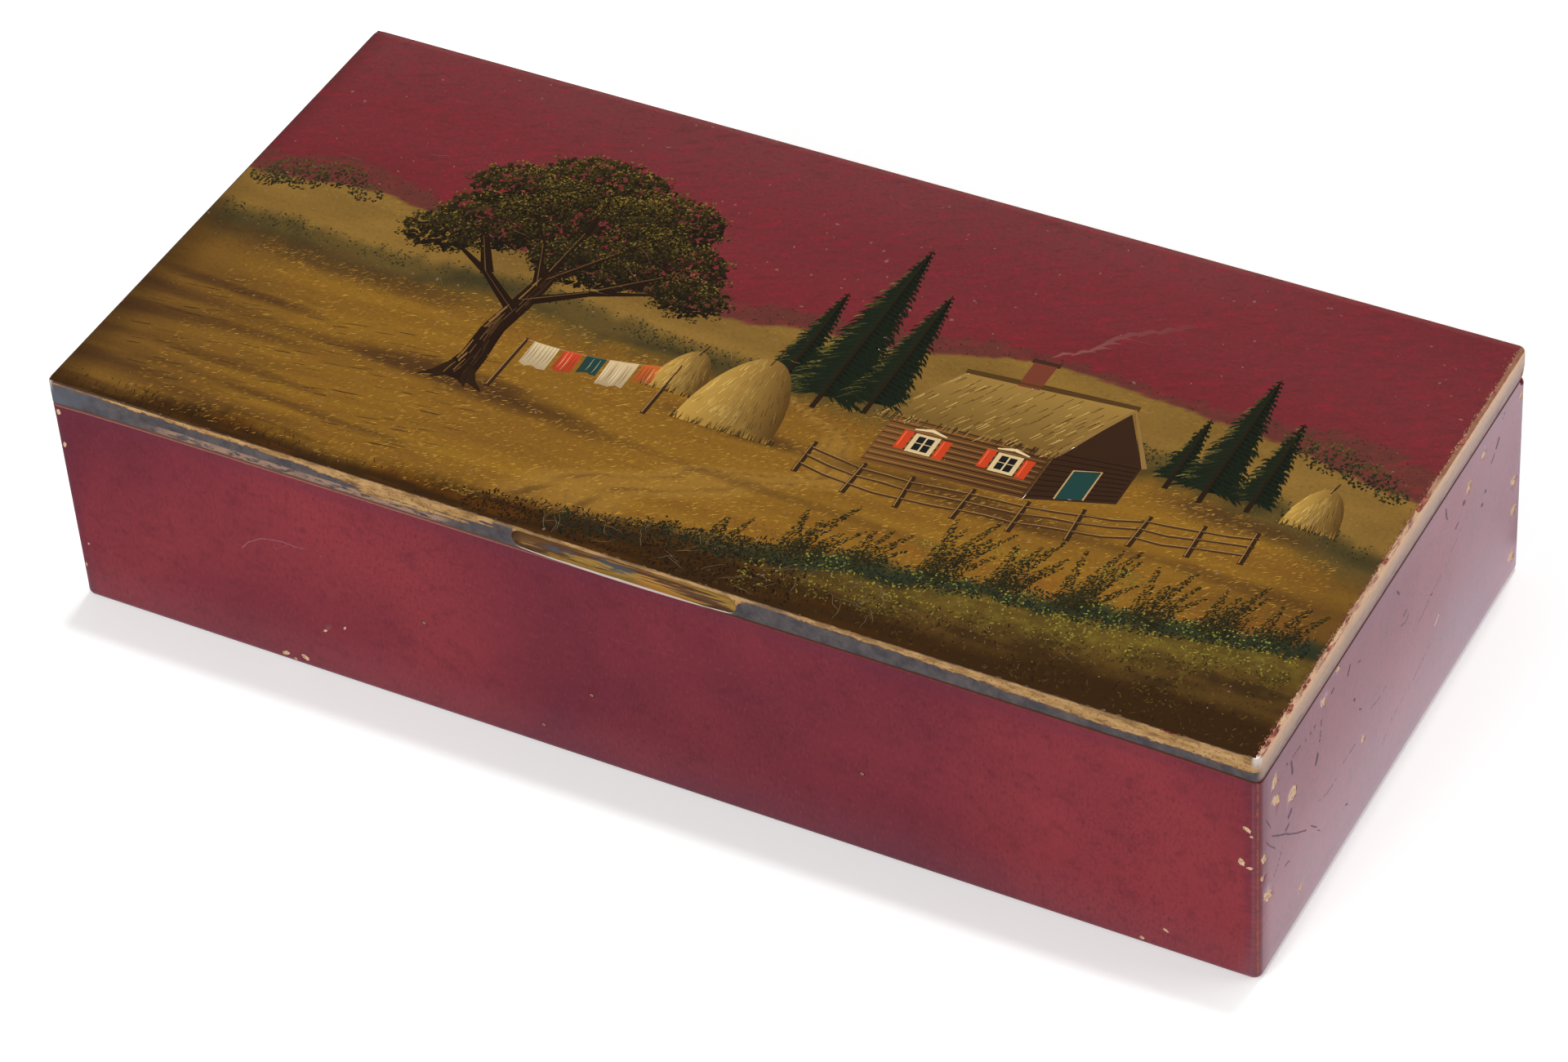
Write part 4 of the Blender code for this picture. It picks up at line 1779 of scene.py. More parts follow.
@dataclass
class PaintedLid:
    """Flat lid board with a gilt edge and a thumb scoop, hollowed underneath.

    The material numbers of its faces are 0 for the gilt edge and those below.
    """

    LINING = 1
    SCOOP = 2
    GROUND = 3

    finishes: Finishes
    paint_room: float = 0.1 * MM
    corner_radius: float = 1.5 * MM
    edge_radius: float = 0.5 * MM
    foot_radius: float = 0.12 * MM
    front_ease: float = 0.2 * MM
    ease_height: float = 0.5 * MM
    seam_reach: float = 3.2 * MM
    edge_band: float = 4.0 * MM
    seat_inset: float = 5.38 * MM
    chip_inset: float = 0.5 * MM
    grip_length: float = 39.0 * MM
    grip_radius: float = 1.8 * MM
    grip_depth: float = 0.9 * MM
    nose_proud: float = 0.5 * MM
    nose_height: float = 0.8 * MM
    grip_lift: float = 0.2 * MM
    recess_side: float = 99.6 * MM
    recess_front: float = 45.6 * MM
    recess_back: float = 11.0 * MM
    recess_depth: float = 1.5 * MM

    @property
    def face_z(self) -> float:
        """Height of the board's bare top."""
        return TOP_Z - self.paint_room

    def build(self) -> None:
        """Build the board."""
        recess = box_mesh(
            "recess",
            (-self.recess_side, -self.recess_front, LID_Z - 2 * MM),
            (self.recess_side, HALF_Y - self.recess_back, LID_Z + self.recess_depth),
            self.LINING,
        )
        groove = groove_bar(self.LINING)
        tools = [(tool, "DIFFERENCE") for tool in (self._scoop(), recess, groove, self._chips())]
        board = carve(self._board(), tools)
        finishes = self.finishes
        materials = (finishes.gilt, finishes.lining, finishes.scoop, finishes.ground)
        add_piece("gilt_lid_board", board, Body.LID, materials, ("lid_board",))

    def _nose(self, x: float, z: float) -> float:
        """Return how far the lower front edge bows out at a place along it.

        Args:
            x: The place along the front.
            z: The height.

        Returns:
            The distance, which is 0 beside the grip.
        """
        half = self.grip_length / 2
        if abs(x) >= half:
            return 0.0
        radius = (half**2 + self.nose_proud**2) / (2 * self.nose_proud)
        bow = math.sqrt(radius**2 - x**2) - (radius - self.nose_proud)
        fall = (z - LID_Z - self.nose_height - 0.6 * MM) / (1.4 * MM)
        return bow * min(1.0, max(0.0, 1.0 - fall))

    def _board(self) -> bpy.types.Mesh:
        """Return the board as a closed form with a flat top.

        Returns:
            The board before anything is cut from it.
        """
        loop = PlanLoop(HALF_X, HALF_Y, self.corner_radius, 1.0 * MM)
        section = [(self.seat_inset, LID_Z), (5.0 * MM, LID_Z)]
        section += [
            (inset, LID_Z + rise) for inset, rise in reversed(rounding(self.foot_radius, 2))
        ]
        section += [(0.0, LID_Z + rise * MM) for rise in (0.2, 0.3, 0.42, 0.6)]
        top = self.face_z
        first = LID_Z + 0.6 * MM
        steps = 9
        section += [
            (0.0, first + (top - self.edge_radius - first) * i / steps) for i in range(1, steps + 1)
        ]
        section += [(inset, top - drop) for inset, drop in rounding(self.edge_radius, 7)[1:]]
        section += [(2.5 * MM, top)]
        bm = bmesh.new()
        rows = []
        for inset, z in section:
            row = []
            for point, out in loop.ring(inset, z):
                lift = seam_crown(point) * smooth(z, LID_Z + self.seam_reach, LID_Z)
                if out.y < -0.99 and inset < self.edge_band:
                    point = point - Vector((0, self._nose(point.x, z), 0))
                low_down = smooth(z, LID_Z + self.ease_height, LID_Z)
                ease = self.front_ease * low_down * facing_front(out) * (inset < self.edge_band)
                row.append(bm.verts.new(point - out * ease + Vector((0, 0, lift))))
            rows.append(row)
        close_rings(bm, rows)
        bm.normal_update()
        for face in bm.faces:
            middle = face.calc_center_median()
            if middle.z < LID_Z + 0.01 * MM + seam_crown(middle) and face.normal.z < -0.7:
                face.material_index = self.LINING
        return mesh_of("gilt_lid_board", bm)

    def _scoop(self) -> bpy.types.Mesh:
        """Return the round-ended bar that scoops the thumb grip.

        Returns:
            The bar in its place.
        """
        radius = self.grip_radius
        ahead = radius - self.grip_depth
        rise = math.sqrt(radius**2 - (ahead - self.nose_proud) ** 2)
        straight = self.grip_length / 2 - math.sqrt(radius**2 - ahead**2)
        angles = [math.pi / 2 * step / 14 for step in range(15)]
        ball = [(straight + radius * math.cos(a), radius * math.sin(a)) for a in angles]
        ball[0] = (straight + radius, 0.0)
        profile = ball + [(-x, r) for x, r in reversed(ball)]
        centre = (0, -HALF_Y - ahead, LID_Z + self.nose_height + self.grip_lift + rise)
        return turned_mesh("thumb_scoop", profile, centre, 72, self.SCOOP)

    def _chips(self) -> bpy.types.Mesh:
        """Return rough shapes that chip the upper edge, mostly along the right side.

        Returns:
            The shapes as one mesh.
        """
        bm = bmesh.new()
        rng = random.Random(5)
        inset = self.chip_inset
        right = (4, 6.5, 8, 12, 17, 18.5, 26, 33, 47, 60, 61.5, 77, 90)
        places = [(HALF_X - inset, -HALF_Y + v * MM) for v in right]
        places += [(HALF_X - back * MM, -HALF_Y + inset) for back in (14.5, 15.6, 66, 139, 180)]
        places += [(-HALF_X + inset, -HALF_Y + v * MM) for v in (22, 49, 83)]
        for x, y in places:
            made = bmesh.ops.create_icosphere(bm, subdivisions=2, radius=1.0)["verts"]
            size = rng.uniform(0.45, 0.9) * MM
            longer = rng.uniform(1.0, 1.8)
            shift = Vector((rng.random() * 40, 0, 0))
            along_x = abs(y) > abs(x) * 0.9 or y < -HALF_Y + 1 * MM
            for vert in made:
                ragged = size * (1 + 0.4 * noise.noise(vert.co * 1.9 + shift))
                wide = Vector((longer if along_x else 0.7, 0.7 if along_x else longer, 0.3))
                vert.co = Vector((x, y, self.face_z + 0.08 * MM)) + vert.co * wide * ragged
        bmesh.ops.recalc_face_normals(bm, faces=bm.faces)
        number_faces(bm, self.GROUND)
        return mesh_of("edge_chips", bm)


# The hinge


@dataclass
class KnuckleHinge:
    """Straps rolled round a wire, held in turn by the back wall and the lid."""

    finishes: Finishes
    count: int = 13
    barrel_inset: float = 2.0 * MM
    end_inset: float = 0.7 * MM
    gap: float = 0.25 * MM
    eye_radius: float = 1.35 * MM
    thickness: float = 0.5 * MM
    tail: float = 7.0 * MM
    end_gap: float = 0.15 * MM
    ease: float = 0.08 * MM
    path_points: int = 48

    def build(self) -> None:
        """Build the straps of each body as one piece and dress the pin."""
        desk = self._strap_tree()
        length = (2 * (HALF_X - self.barrel_inset) - (self.count - 1) * self.gap) / self.count
        pitch = length + self.gap
        inner = self.eye_radius - self.thickness / 2
        outer = self.eye_radius + self.thickness / 2
        wrap = math.tau - math.acos((inner - self.end_gap) / outer)
        for body, first, turn in ((Body.CASE, 0, 0.0), (Body.LID, 1, -math.pi / 2)):
            number = len(range(first, self.count, 2))
            sizes = {
                "Straps": number,
                "First": (pitch * (first - (self.count - 1) / 2), 0.0, 0.0),
                "Pitch": 2 * pitch,
                "Strap Length": length,
                "Thickness": self.thickness,
                "Eye Radius": self.eye_radius,
                "Tail": self.tail,
                "Wrap": wrap,
                "Turn": turn,
                "Pin": tuple(AXIS),
            }
            mesh = desk.grow(f"{body.value}_straps", sizes)
            self._reach_ends(mesh)
            mesh.set_sharp_from_angle(angle=SHARP_ANGLE)
            names = [f"{body.value}_knuckle_{i + 1}" for i in range(number)]
            add_piece(f"{body.value}_straps", mesh, body, (self.finishes.brass,), names)
        dress("hinge_pin", self.finishes.wire)

    def _reach_ends(self, mesh: bpy.types.Mesh) -> None:
        """Lengthen the outermost straps so that they end just inside the box's sides.

        Args:
            mesh: The straps of one body.
        """
        end = HALF_X - self.barrel_inset - 2 * self.ease
        for vert in mesh.vertices:
            if abs(vert.co.x) > end:
                vert.co.x += math.copysign(self.barrel_inset - self.end_inset, vert.co.x)

    def _strap_tree(self) -> FormDesk:
        """Write the tree that rolls a strap round the pin and repeats it along the barrel.

        Returns:
            The desk with the tree.
        """
        desk = FormDesk("rolled_straps")
        straps = desk.size("Straps", 7)
        first = desk.size("First", (0.0, 0.0, 0.0))
        pitch = desk.size("Pitch", 0.03)
        length = desk.size("Strap Length", 0.015)
        thickness = desk.size("Thickness", 0.0005)
        eye = desk.size("Eye Radius", 0.00135)
        tail = desk.size("Tail", 0.007)
        wrap = desk.size("Wrap", 5.0)
        turn = desk.size("Turn", 0.0)
        pin = desk.size("Pin", (0.0, 0.0, 0.0))

        line = desk.wire("GeometryNodeCurvePrimitiveLine", {"Start": (0, 0, 0), "End": (1, 0, 0)})
        dots = desk.wire("GeometryNodeResampleCurve", {"Curve": line, "Count": self.path_points})
        share = desk.wire("GeometryNodeSplineParameter", {}, "Factor")
        run = share * (tail + wrap * eye)
        angle = desk.math("DIVIDE", desk.most(run - tail, 0.0), eye)
        across = desk.math("COSINE", angle) * (eye * -1.0)
        drop = desk.least(run - tail, 0.0)
        up = desk.math("SINE", angle) * eye + drop
        path = desk.wire(
            "GeometryNodeSetPosition", {"Geometry": dots, "Position": desk.join(across, up, 0.0)}
        )
        section = desk.wire(
            "GeometryNodeCurvePrimitiveQuadrilateral", {"Width": thickness, "Height": length}
        )
        eased = desk.wire(
            "GeometryNodeFilletCurve", {"Curve": section, "Radius": self.ease, "Count": 3},
            mode="POLY"
        )
        strap = desk.wire(
            "GeometryNodeCurveToMesh", {"Curve": path, "Profile Curve": eased, "Fill Caps": True}
        )
        stood = desk.wire(
            "GeometryNodeTransform",
            {"Geometry": strap, "Rotation": (math.pi / 2, 0.0, math.pi / 2)}
        )
        swung = desk.wire(
            "GeometryNodeTransform", {"Geometry": stood, "Rotation": desk.join(turn, 0.0, 0.0)}
        )
        step = desk.join(pitch, 0.0, 0.0)
        row = desk.wire(
            "GeometryNodeMeshLine", {"Count": straps, "Start Location": first, "Offset": step}
        )
        placed = desk.wire("GeometryNodeInstanceOnPoints", {"Points": row, "Instance": swung})
        moved = desk.wire("GeometryNodeTransform", {"Geometry": placed, "Translation": pin})
        desk.close(moved, self.finishes.brass)
        return desk


# The picture


@dataclass(frozen=True)
class Contour:
    """Line across the picture, smooth through its (u, v) points."""

    points: tuple[Spot, ...]
    roughness: float = 0.0

    def __call__(self, u: float) -> float:
        """Return the line's v at a place u.

        Args:
            u: The place.

        Returns:
            The line's v, with its roughness.
        """
        points = self.points
        u = min(max(u, points[0][0]), points[-1][0])
        for (u0, v0), (u1, v1) in zip(points, points[1:]):
            if u <= u1:
                rough = self.roughness * fine_noise(
                    u * 0.35, 7.0, self.roughness
                ) if self.roughness else 0.0
                return v0 + (v1 - v0) * smooth(u, u0, u1) + rough
        return points[-1][1]


@dataclass(frozen=True)
class Shade:
    """Soft dark patch on the ground, such as the shadow of a tree."""

    u: float
    v: float
    long: float
    short: float
    amount: float


@dataclass(frozen=True)
class Landscape:
    """Tones of the picture: a red evening sky over low hills and a golden common.

    Tones are as the eye reads them, from 0 to 255.
    """

    width: float = 210.0
    depth: float = 102.0
    horizon: Contour = Contour(
        ((0, 60), (24, 63), (52, 59), (86, 57), (116, 61), (146, 68), (176, 66), (210, 61)), 0.5
    )
    hills: Contour = Contour(
        (
            (0, 66), (18, 69), (44, 64), (84, 61), (104, 64), (140, 70), (178, 69), (194, 72),
            (210, 68)
        ),
        1.4
    )
    meadow: Contour = Contour(
        ((0, 51), (30, 50), (60, 52), (95, 49), (130, 52), (160, 56), (185, 53), (210, 47)), 1.2
    )
    bank: Contour = Contour(
        ((0, 1), (70, 2), (92, 5), (112, 9), (140, 15), (170, 19), (210, 25)), 1.2
    )
    sky_low: Colour = (118, 46, 50)
    sky_middle: Colour = (118, 51, 55)
    sky_high: Colour = (117, 60, 62)
    hill_tone: Colour = (92, 54, 48)
    ridge_light: Colour = (150, 114, 54)
    ridge_tone: Colour = (116, 88, 44)
    meadow_tone: Colour = (88, 72, 40)
    meadow_dark: Colour = (58, 54, 36)
    gold: Colour = (144, 104, 38)
    ochre: Colour = (122, 84, 36)
    brown: Colour = (74, 50, 32)
    dark: Colour = (58, 40, 24)
    warm_dark: Colour = (84, 52, 22)
    road_tone: Colour = (158, 118, 54)
    grass: Colour = (100, 80, 36)
    teal: Colour = (44, 54, 40)
    lit_grass: Colour = (126, 112, 44)
    shades: tuple[Shade, ...] = (
        Shade(60, 27.0, 24, 3.0, 0.85), Shade(78, 24.6, 17, 1.8, 0.55),
        Shade(106, 34.0, 14, 2.0, 0.7), Shade(148, 33.5, 25, 2.8, 0.75),
        Shade(16, 32, 19, 1.4, 0.75), Shade(30, 44, 30, 3.2, 0.5), Shade(184, 46, 15, 2.2, 0.6),
        Shade(24, 15.5, 22, 1.2, 0.5), Shade(44, 10.5, 26, 0.9, 0.5), Shade(124, 23, 32, 1.2, 0.35),
        Shade(192, 33, 18, 1.6, 0.5),
    )

    def road(self, v: float) -> tuple[float, float]:
        """Return the middle of the winding track and its half width at a distance v."""
        path = Contour(
            ((0, 84), (12, 90), (22, 108), (30, 126), (38, 122), (46, 108), (53, 112), (60, 122))
        )
        return path(v), 0.9 + 9.0 * smooth(v, 58, 2) ** 1.3

    def tone(self, u: float, v: float) -> Colour:
        """Return the tone at a place.

        Args:
            u: Way along the front.
            v: Way towards the hinge.

        Returns:
            The tone, from 0 to 255.
        """
        horizon = self.horizon(u)
        colour = self._sky(u, v, horizon)
        edge = self.hills(u) + 1.1 * fine_noise(u * 0.9, 3.0)
        haze = 0.8 * smooth(v, edge + 0.5, edge - 0.7)
        colour = blended(
            haze, colour,
            blended(0.5 + 0.5 * fine_noise(u * 0.3, v * 0.6), self.hill_tone, (108, 62, 50))
        )
        if v < horizon + 1:
            colour = blended(smooth(v, horizon + 0.35, horizon - 0.35), colour, self._land(u, v))
        # Painted highlight, pale pink, along the lid's back edge.
        back_edge_highlight = 0.3 * smooth(v, self.depth - 1.6, self.depth - 0.7)
        return blended(back_edge_highlight, colour, (158, 96, 92))

    def _sky(self, u: float, v: float, horizon: float) -> Colour:
        """Return the tone of the sky.

        Args:
            u: Way along the front.
            v: Way towards the hinge.
            horizon: The horizon's v there.

        Returns:
            The tone, from 0 to 255.
        """
        share = (v - horizon) / (self.depth - horizon)
        colour = blended(smooth(share, 0.0, 0.45), self.sky_low, self.sky_middle)
        colour = blended(smooth(share, 0.5, 1.0) * smooth(u, 190, 150), colour, self.sky_high)
        drift = fine_noise(u * 0.022, v * 0.07, 4.0)
        colour = blended(0.25 * max(drift, 0.0), colour, (100, 44, 48))
        colour = blended(0.25 * max(-drift, 0.0), colour, (132, 46, 52))
        return blended(0.5 * smooth(u, 5, 0), colour, (92, 44, 46))

    def _land(self, u: float, v: float) -> Colour:
        """Return the tone of the ground.

        Args:
            u: Way along the front.
            v: Way towards the hinge.

        Returns:
            The tone, from 0 to 255.
        """
        streak = fine_noise(u * 0.022, (v - 0.04 * u) * 0.3, 1.0)
        patch = fine_noise(u * 0.05, v * 0.13, 9.0)
        colour = blended(0.5 + 0.5 * patch, self.ridge_light, self.ridge_tone)
        meadow = self.meadow(u)
        meadow_tone = blended(smooth(patch, -0.35, 0.35), self.meadow_tone, self.meadow_dark)
        colour = blended(0.85 * smooth(v, meadow + 2.2, meadow - 1.2), colour, meadow_tone)
        open_ground = blended(0.45 + 0.45 * streak, self.gold, self.ochre)
        open_ground = blended(0.5 * smooth(u, 40, 8), open_ground, (104, 74, 38))
        colour = blended(
            smooth(v, meadow - 3.0 + 3 * patch, meadow - 10.0 + 3 * patch), colour, open_ground
        )
        middle, half = self.road(v)
        off = abs(u - middle + 1.5 * fine_noise(u * 0.1, v * 0.2, 2.0)) / half
        colour = blended(smooth(off, 1.3, 0.7) * 0.55, colour, self.road_tone)
        rut = smooth(abs(off - 0.5), 0.16, 0.04) * smooth(v, 52, 40) * (0.3 + 0.3 * streak)
        colour = blended(max(rut, 0.0), colour, self.brown)
        for shade in self.shades:
            reach = math.hypot(
                (u - shade.u) / shade.long, (v - shade.v + 0.03 * (u - shade.u)) / shade.short
            )
            reach += 0.3 * fine_noise(u * 0.1, v * 0.4, shade.u)
            colour = blended(shade.amount * smooth(reach, 1.3, 0.3), colour, self.brown)
        left_dark = smooth(u, 54 + 14 * streak, 2) * smooth(v, 44, 26) * (0.35 + 0.9 * streak)
        colour = blended(min(max(left_dark, 0.0), 0.8), colour, self.brown)
        right_dark = smooth(u, 182 + 14 * patch, 206) * smooth(v, 46, 30) * 0.5
        colour = blended(right_dark, colour, self.brown)
        colour = self._bank(u, v, colour, patch)
        front = 2.4 + 1.4 * smooth(u, 0, 20) + 3.4 * smooth(u, 66, 92) * smooth(u, 152, 128)
        front = front + 4.5 * smooth(u, 150, 196) + 1.6 * patch + 0.8 * fine_noise(u * 0.6, 1.0)
        front_tone = blended(
            smooth(fine_noise(u * 0.07, v * 0.5, 5.0), -0.1, 0.5) * smooth(u, 190, 60), self.dark,
            self.warm_dark
        )
        colour = blended(smooth(v, front + 2.6, front - 1.8), colour, front_tone)
        return blended(0.5 * smooth(u, 8, 0) * smooth(v, 64, 40), colour, self.dark)

    def _bank(self, u: float, v: float, colour: Colour, patch: float) -> Colour:
        """Return a tone with the grassy bank in front laid over it.

        Args:
            u: Way along the front.
            v: Way towards the hinge.
            colour: The tone under the bank.
            patch: Slow noise that bends the bank.

        Returns:
            The tone, from 0 to 255.
        """
        bank = self.bank(u) + 1.8 * patch + 0.8 * fine_noise(u * 0.5, 2.0)
        there = smooth(u, 72, 104)
        grass = blended(
            smooth(fine_noise(u * 0.12, v * 0.35, 6.0), -0.4, 0.5), (84, 62, 32), (60, 44, 28)
        )
        ragged = 1.6 * fine_noise(u * 0.45, v * 0.8, 8.0)
        lit = smooth(u, 118, 160) * smooth(v, bank - 10.5 + ragged, bank - 5.5 + ragged)
        lit *= smooth(v, bank - 1.8, bank - 4.2)
        lit *= 0.55 + 0.45 * smooth(fine_noise(u * 0.5, v * 0.9, 11.0), -0.3, 0.4)
        grass = blended(
            0.85 * lit, grass,
            blended(0.5 + 0.5 * fine_noise(u * 0.3, v * 0.7, 3.0), self.grass, self.lit_grass)
        )
        colour = blended(0.92 * there * smooth(v, bank + 1.4, bank - 2.0), colour, grass)
        warm = smooth(u, 112, 136) * smooth(v, bank + 8.0 + 2 * patch, bank + 2.0)
        warm *= smooth(v, bank, bank + 1.2)
        colour = blended(
            0.4 * warm * smooth(fine_noise(u * 0.1, v * 0.2, 4.0), -0.2, 0.4), colour, (138, 84, 34)
        )
        belt = smooth(abs(v - bank + 0.8), 2.8, 0.4) * smooth(u, 96, 130)
        return blended(0.8 * belt, colour, self.teal)


class StrokeBook:
    """Collects brush strokes or scratches as thin closed forms that carry their own tones."""

    SINK = 0.012

    def __init__(self, name: str, place: Place | None = None) -> None:
        """Start a book.

        Args:
            name: Name of the finished mesh.
            place: Mapping of two places on the surface and a lift, in millimetres, to a point.
        """
        self.name = name
        self.place = place
        self.bm = bmesh.new()
        self.paint = self.bm.verts.layers.float_color.new(PAINT)

    def _vert(self, u: float, v: float, lift: float, tone: Colour) -> bmesh.types.BMVert:
        """Add a point at a height above the surface, in millimetres.

        Args:
            u: Its place, along.
            v: Its place, away.
            lift: Its height.
            tone: Its tone, from 0 to 255.

        Returns:
            The point.
        """
        made = self.bm.verts.new(self.place(u, v, lift))
        made[self.paint] = (*under_varnish(*tone), 1.0)
        return made

    def stroke(
        self,
        points: Sequence[Spot],
        widths: Sequence[float],
        tone: Colour,
        lift: float = 0.0,
        crown: float = 0.02,
    ) -> None:
        """Draw one stroke.

        Args:
            points: Its middle line, as (u, v).
            widths: Its width at each point.
            tone: Its tone, from 0 to 255.
            lift: Height of what it is painted on, in millimetres above the ground.
            crown: How far its middle stands above that.
        """
        rows = []
        for i, (u, v) in enumerate(points):
            before = points[max(i - 1, 0)]
            after = points[min(i + 1, len(points) - 1)]
            du, dv = after[0] - before[0], after[1] - before[1]
            far = math.hypot(du, dv) or 1.0
            side_u, side_v = -dv / far * widths[i] / 2, du / far * widths[i] / 2
            rows.append((
                self._vert(u + side_u, v + side_v, lift - self.SINK, tone),
                self._vert(u - side_u, v - side_v, lift - self.SINK, tone),
                self._vert(u, v, lift + crown, tone),
            ))
        for (l0, r0, m0), (l1, r1, m1) in zip(rows, rows[1:]):
            self.bm.faces.new((l0, m0, m1, l1))
            self.bm.faces.new((m0, r0, r1, m1))
            self.bm.faces.new((r0, l0, l1, r1))
        self.bm.faces.new((rows[0][0], rows[0][1], rows[0][2]))
        self.bm.faces.new((rows[-1][0], rows[-1][2], rows[-1][1]))

    def shape(
        self,
        outline: Sequence[Spot],
        tone: Colour | Callable[[float, float], Colour],
        lift: float,
        bevel: float = 0.06,
    ) -> None:
        """Lay a flat patch of paint with bevelled borders.

        Args:
            outline: Its corners, as (u, v), anticlockwise.
            tone: Its tone, or a function of (u, v).
            lift: Height of its face above the ground, in millimetres.
            bevel: Width of its sloping border.
        """
        middle_u = sum(u for u, _ in outline) / len(outline)
        middle_v = sum(v for _, v in outline) / len(outline)
        tone_at = tone if callable(tone) else lambda u, v: tone
        rings = []
        for inset, height in ((0.0, -self.SINK), (bevel, lift), (bevel * 1.8, lift)):
            ring = []
            for u, v in outline:
                share = max(0.0, 1 - inset / (math.hypot(u - middle_u, v - middle_v) or 1.0))
                at = (middle_u + (u - middle_u) * share, middle_v + (v - middle_v) * share)
                ring.append(self._vert(*at, height, tone_at(*at)))
            rings.append(ring)
        close_rings(self.bm, rings)

    def mesh(self) -> bpy.types.Mesh:
        """Return all strokes as one mesh."""
        bmesh.ops.recalc_face_normals(self.bm, faces=self.bm.faces)
        return mesh_of(self.name, self.bm, STROKE_ANGLE)


class Region:
    """Flat patches that dabs of paint are strewn over; each point carries how lit it is."""

    COLUMN_WIDTH = 2.5
    ROWS = 5
    DISC_POINTS = 14
    LIGHT_FROM = math.radians(118)

    def __init__(self, place: Place) -> None:
        """Start an empty region on the surface that `place` maps to.

        Args:
            place: Mapping of two places and a lift, in millimetres, to a point.
        """
        self.place = place
        self.bm = bmesh.new()
        self.lit = self.bm.verts.layers.float.new("lit")

    def _vert(self, u: float, v: float, lift: float, lit: float) -> bmesh.types.BMVert:
        """Add a point at a height in millimetres above the surface.

        Args:
            u: Its place, along.
            v: Its place, away.
            lift: Its height.
            lit: How lit it is, from 0 to 1.

        Returns:
            The point.
        """
        made = self.bm.verts.new(self.place(u, v, lift))
        made[self.lit] = lit
        return made

    def disc(
        self,
        u: float,
        v: float,
        long: float,
        short: float,
        lift: float,
        bias: float = 0.0,
    ) -> None:
        """Add a disc lit from the upper left.

        Args:
            u: Middle, along.
            v: Middle, away.
            long: Half length along.
            short: Half length away.
            lift: Height in millimetres.
            bias: How much lighter the whole disc is.
        """
        middle = self._vert(u, v, lift, 0.45 + bias)
        count = self.DISC_POINTS
        ring = []
        for i in range(count):
            angle = math.tau * i / count
            lit = 0.45 + bias + 0.4 * math.cos(angle - self.LIGHT_FROM)
            ring.append(
                self._vert(u + long * math.cos(angle), v + short * math.sin(angle), lift, lit)
            )
        for i in range(count):
            self.bm.faces.new((middle, ring[i], ring[(i + 1) % count]))

    def ribbon(self, line: Sequence[Spot], width: float, lift: float, lit: float) -> None:
        """Add a strip along a line that tapers to its end.

        Args:
            line: Its middle line, as (u, v).
            width: Its width at the start.
            lift: Height in millimetres.
            lit: How lit its left half is; the right half is darker.
        """
        rows = []
        for i, (u, v) in enumerate(line):
            half = width / 2 * (1.15 - 0.95 * i / (len(line) - 1))
            rows.append(
                [self._vert(u + side * half, v, lift, lit - 0.22 * side) for side in (-1, 0, 1)]
            )
        for low, high in zip(rows, rows[1:]):
            for i in range(2):
                self.bm.faces.new((low[i], low[i + 1], high[i + 1], high[i]))

    def strip(
        self,
        low: Line,
        high: Line,
        start: float,
        end: float,
        lift: float,
        lit: Light,
    ) -> None:
        """Add the stretch between two lines.

        Args:
            low: Lower line's v at u.
            high: Upper line's v at u.
            start: Where it starts, u.
            end: Where it ends, u.
            lift: Height in millimetres.
            lit: How lit a place (u, v) is, from 0 to 1.
        """
        columns = max(2, round((end - start) / self.COLUMN_WIDTH))
        rows = self.ROWS
        grid = []
        for i in range(columns + 1):
            u = start + (end - start) * i / columns
            v0, v1 = low(u), high(u)
            heights = [v0 + (v1 - v0) * j / rows for j in range(rows + 1)]
            grid.append([self._vert(u, v, lift, lit(u, v)) for v in heights])
        join_columns(self.bm, grid)

    def mesh(self) -> bpy.types.Mesh:
        """Return the region's mesh."""
        return mesh_of("region", self.bm)


@dataclass(frozen=True)
class Dabs:
    """One kind of dab: how dense, how large, how turned and in which tones."""

    density: float
    length: Spot
    width: float
    turn: Spot
    dark: Colour
    middle: Colour
    light: Colour
    spread: float
    patchy: float
    patch_scale: float
    crown: float
    seed: int

    def sizes(self) -> dict[str, object]:
        """Return the values of the dab tree's inputs.

        Returns:
            The values by the inputs' names.
        """
        return {
            "Density": self.density / MM**2,
            "Shortest": self.length[0] * MM,
            "Longest": self.length[1] * MM,
            "Width": self.width * MM,
            "Crown": self.crown * MM,
            "Least Turn": math.radians(self.turn[0]),
            "Most Turn": math.radians(self.turn[1]),
            "Dark": (*under_varnish(*self.dark), 1.0),
            "Middle": (*under_varnish(*self.middle), 1.0),
            "Light": (*under_varnish(*self.light), 1.0),
            "Spread": self.spread,
            "Patchiness": self.patchy,
            "Patch Scale": self.patch_scale,
            "Seed": self.seed,
        }


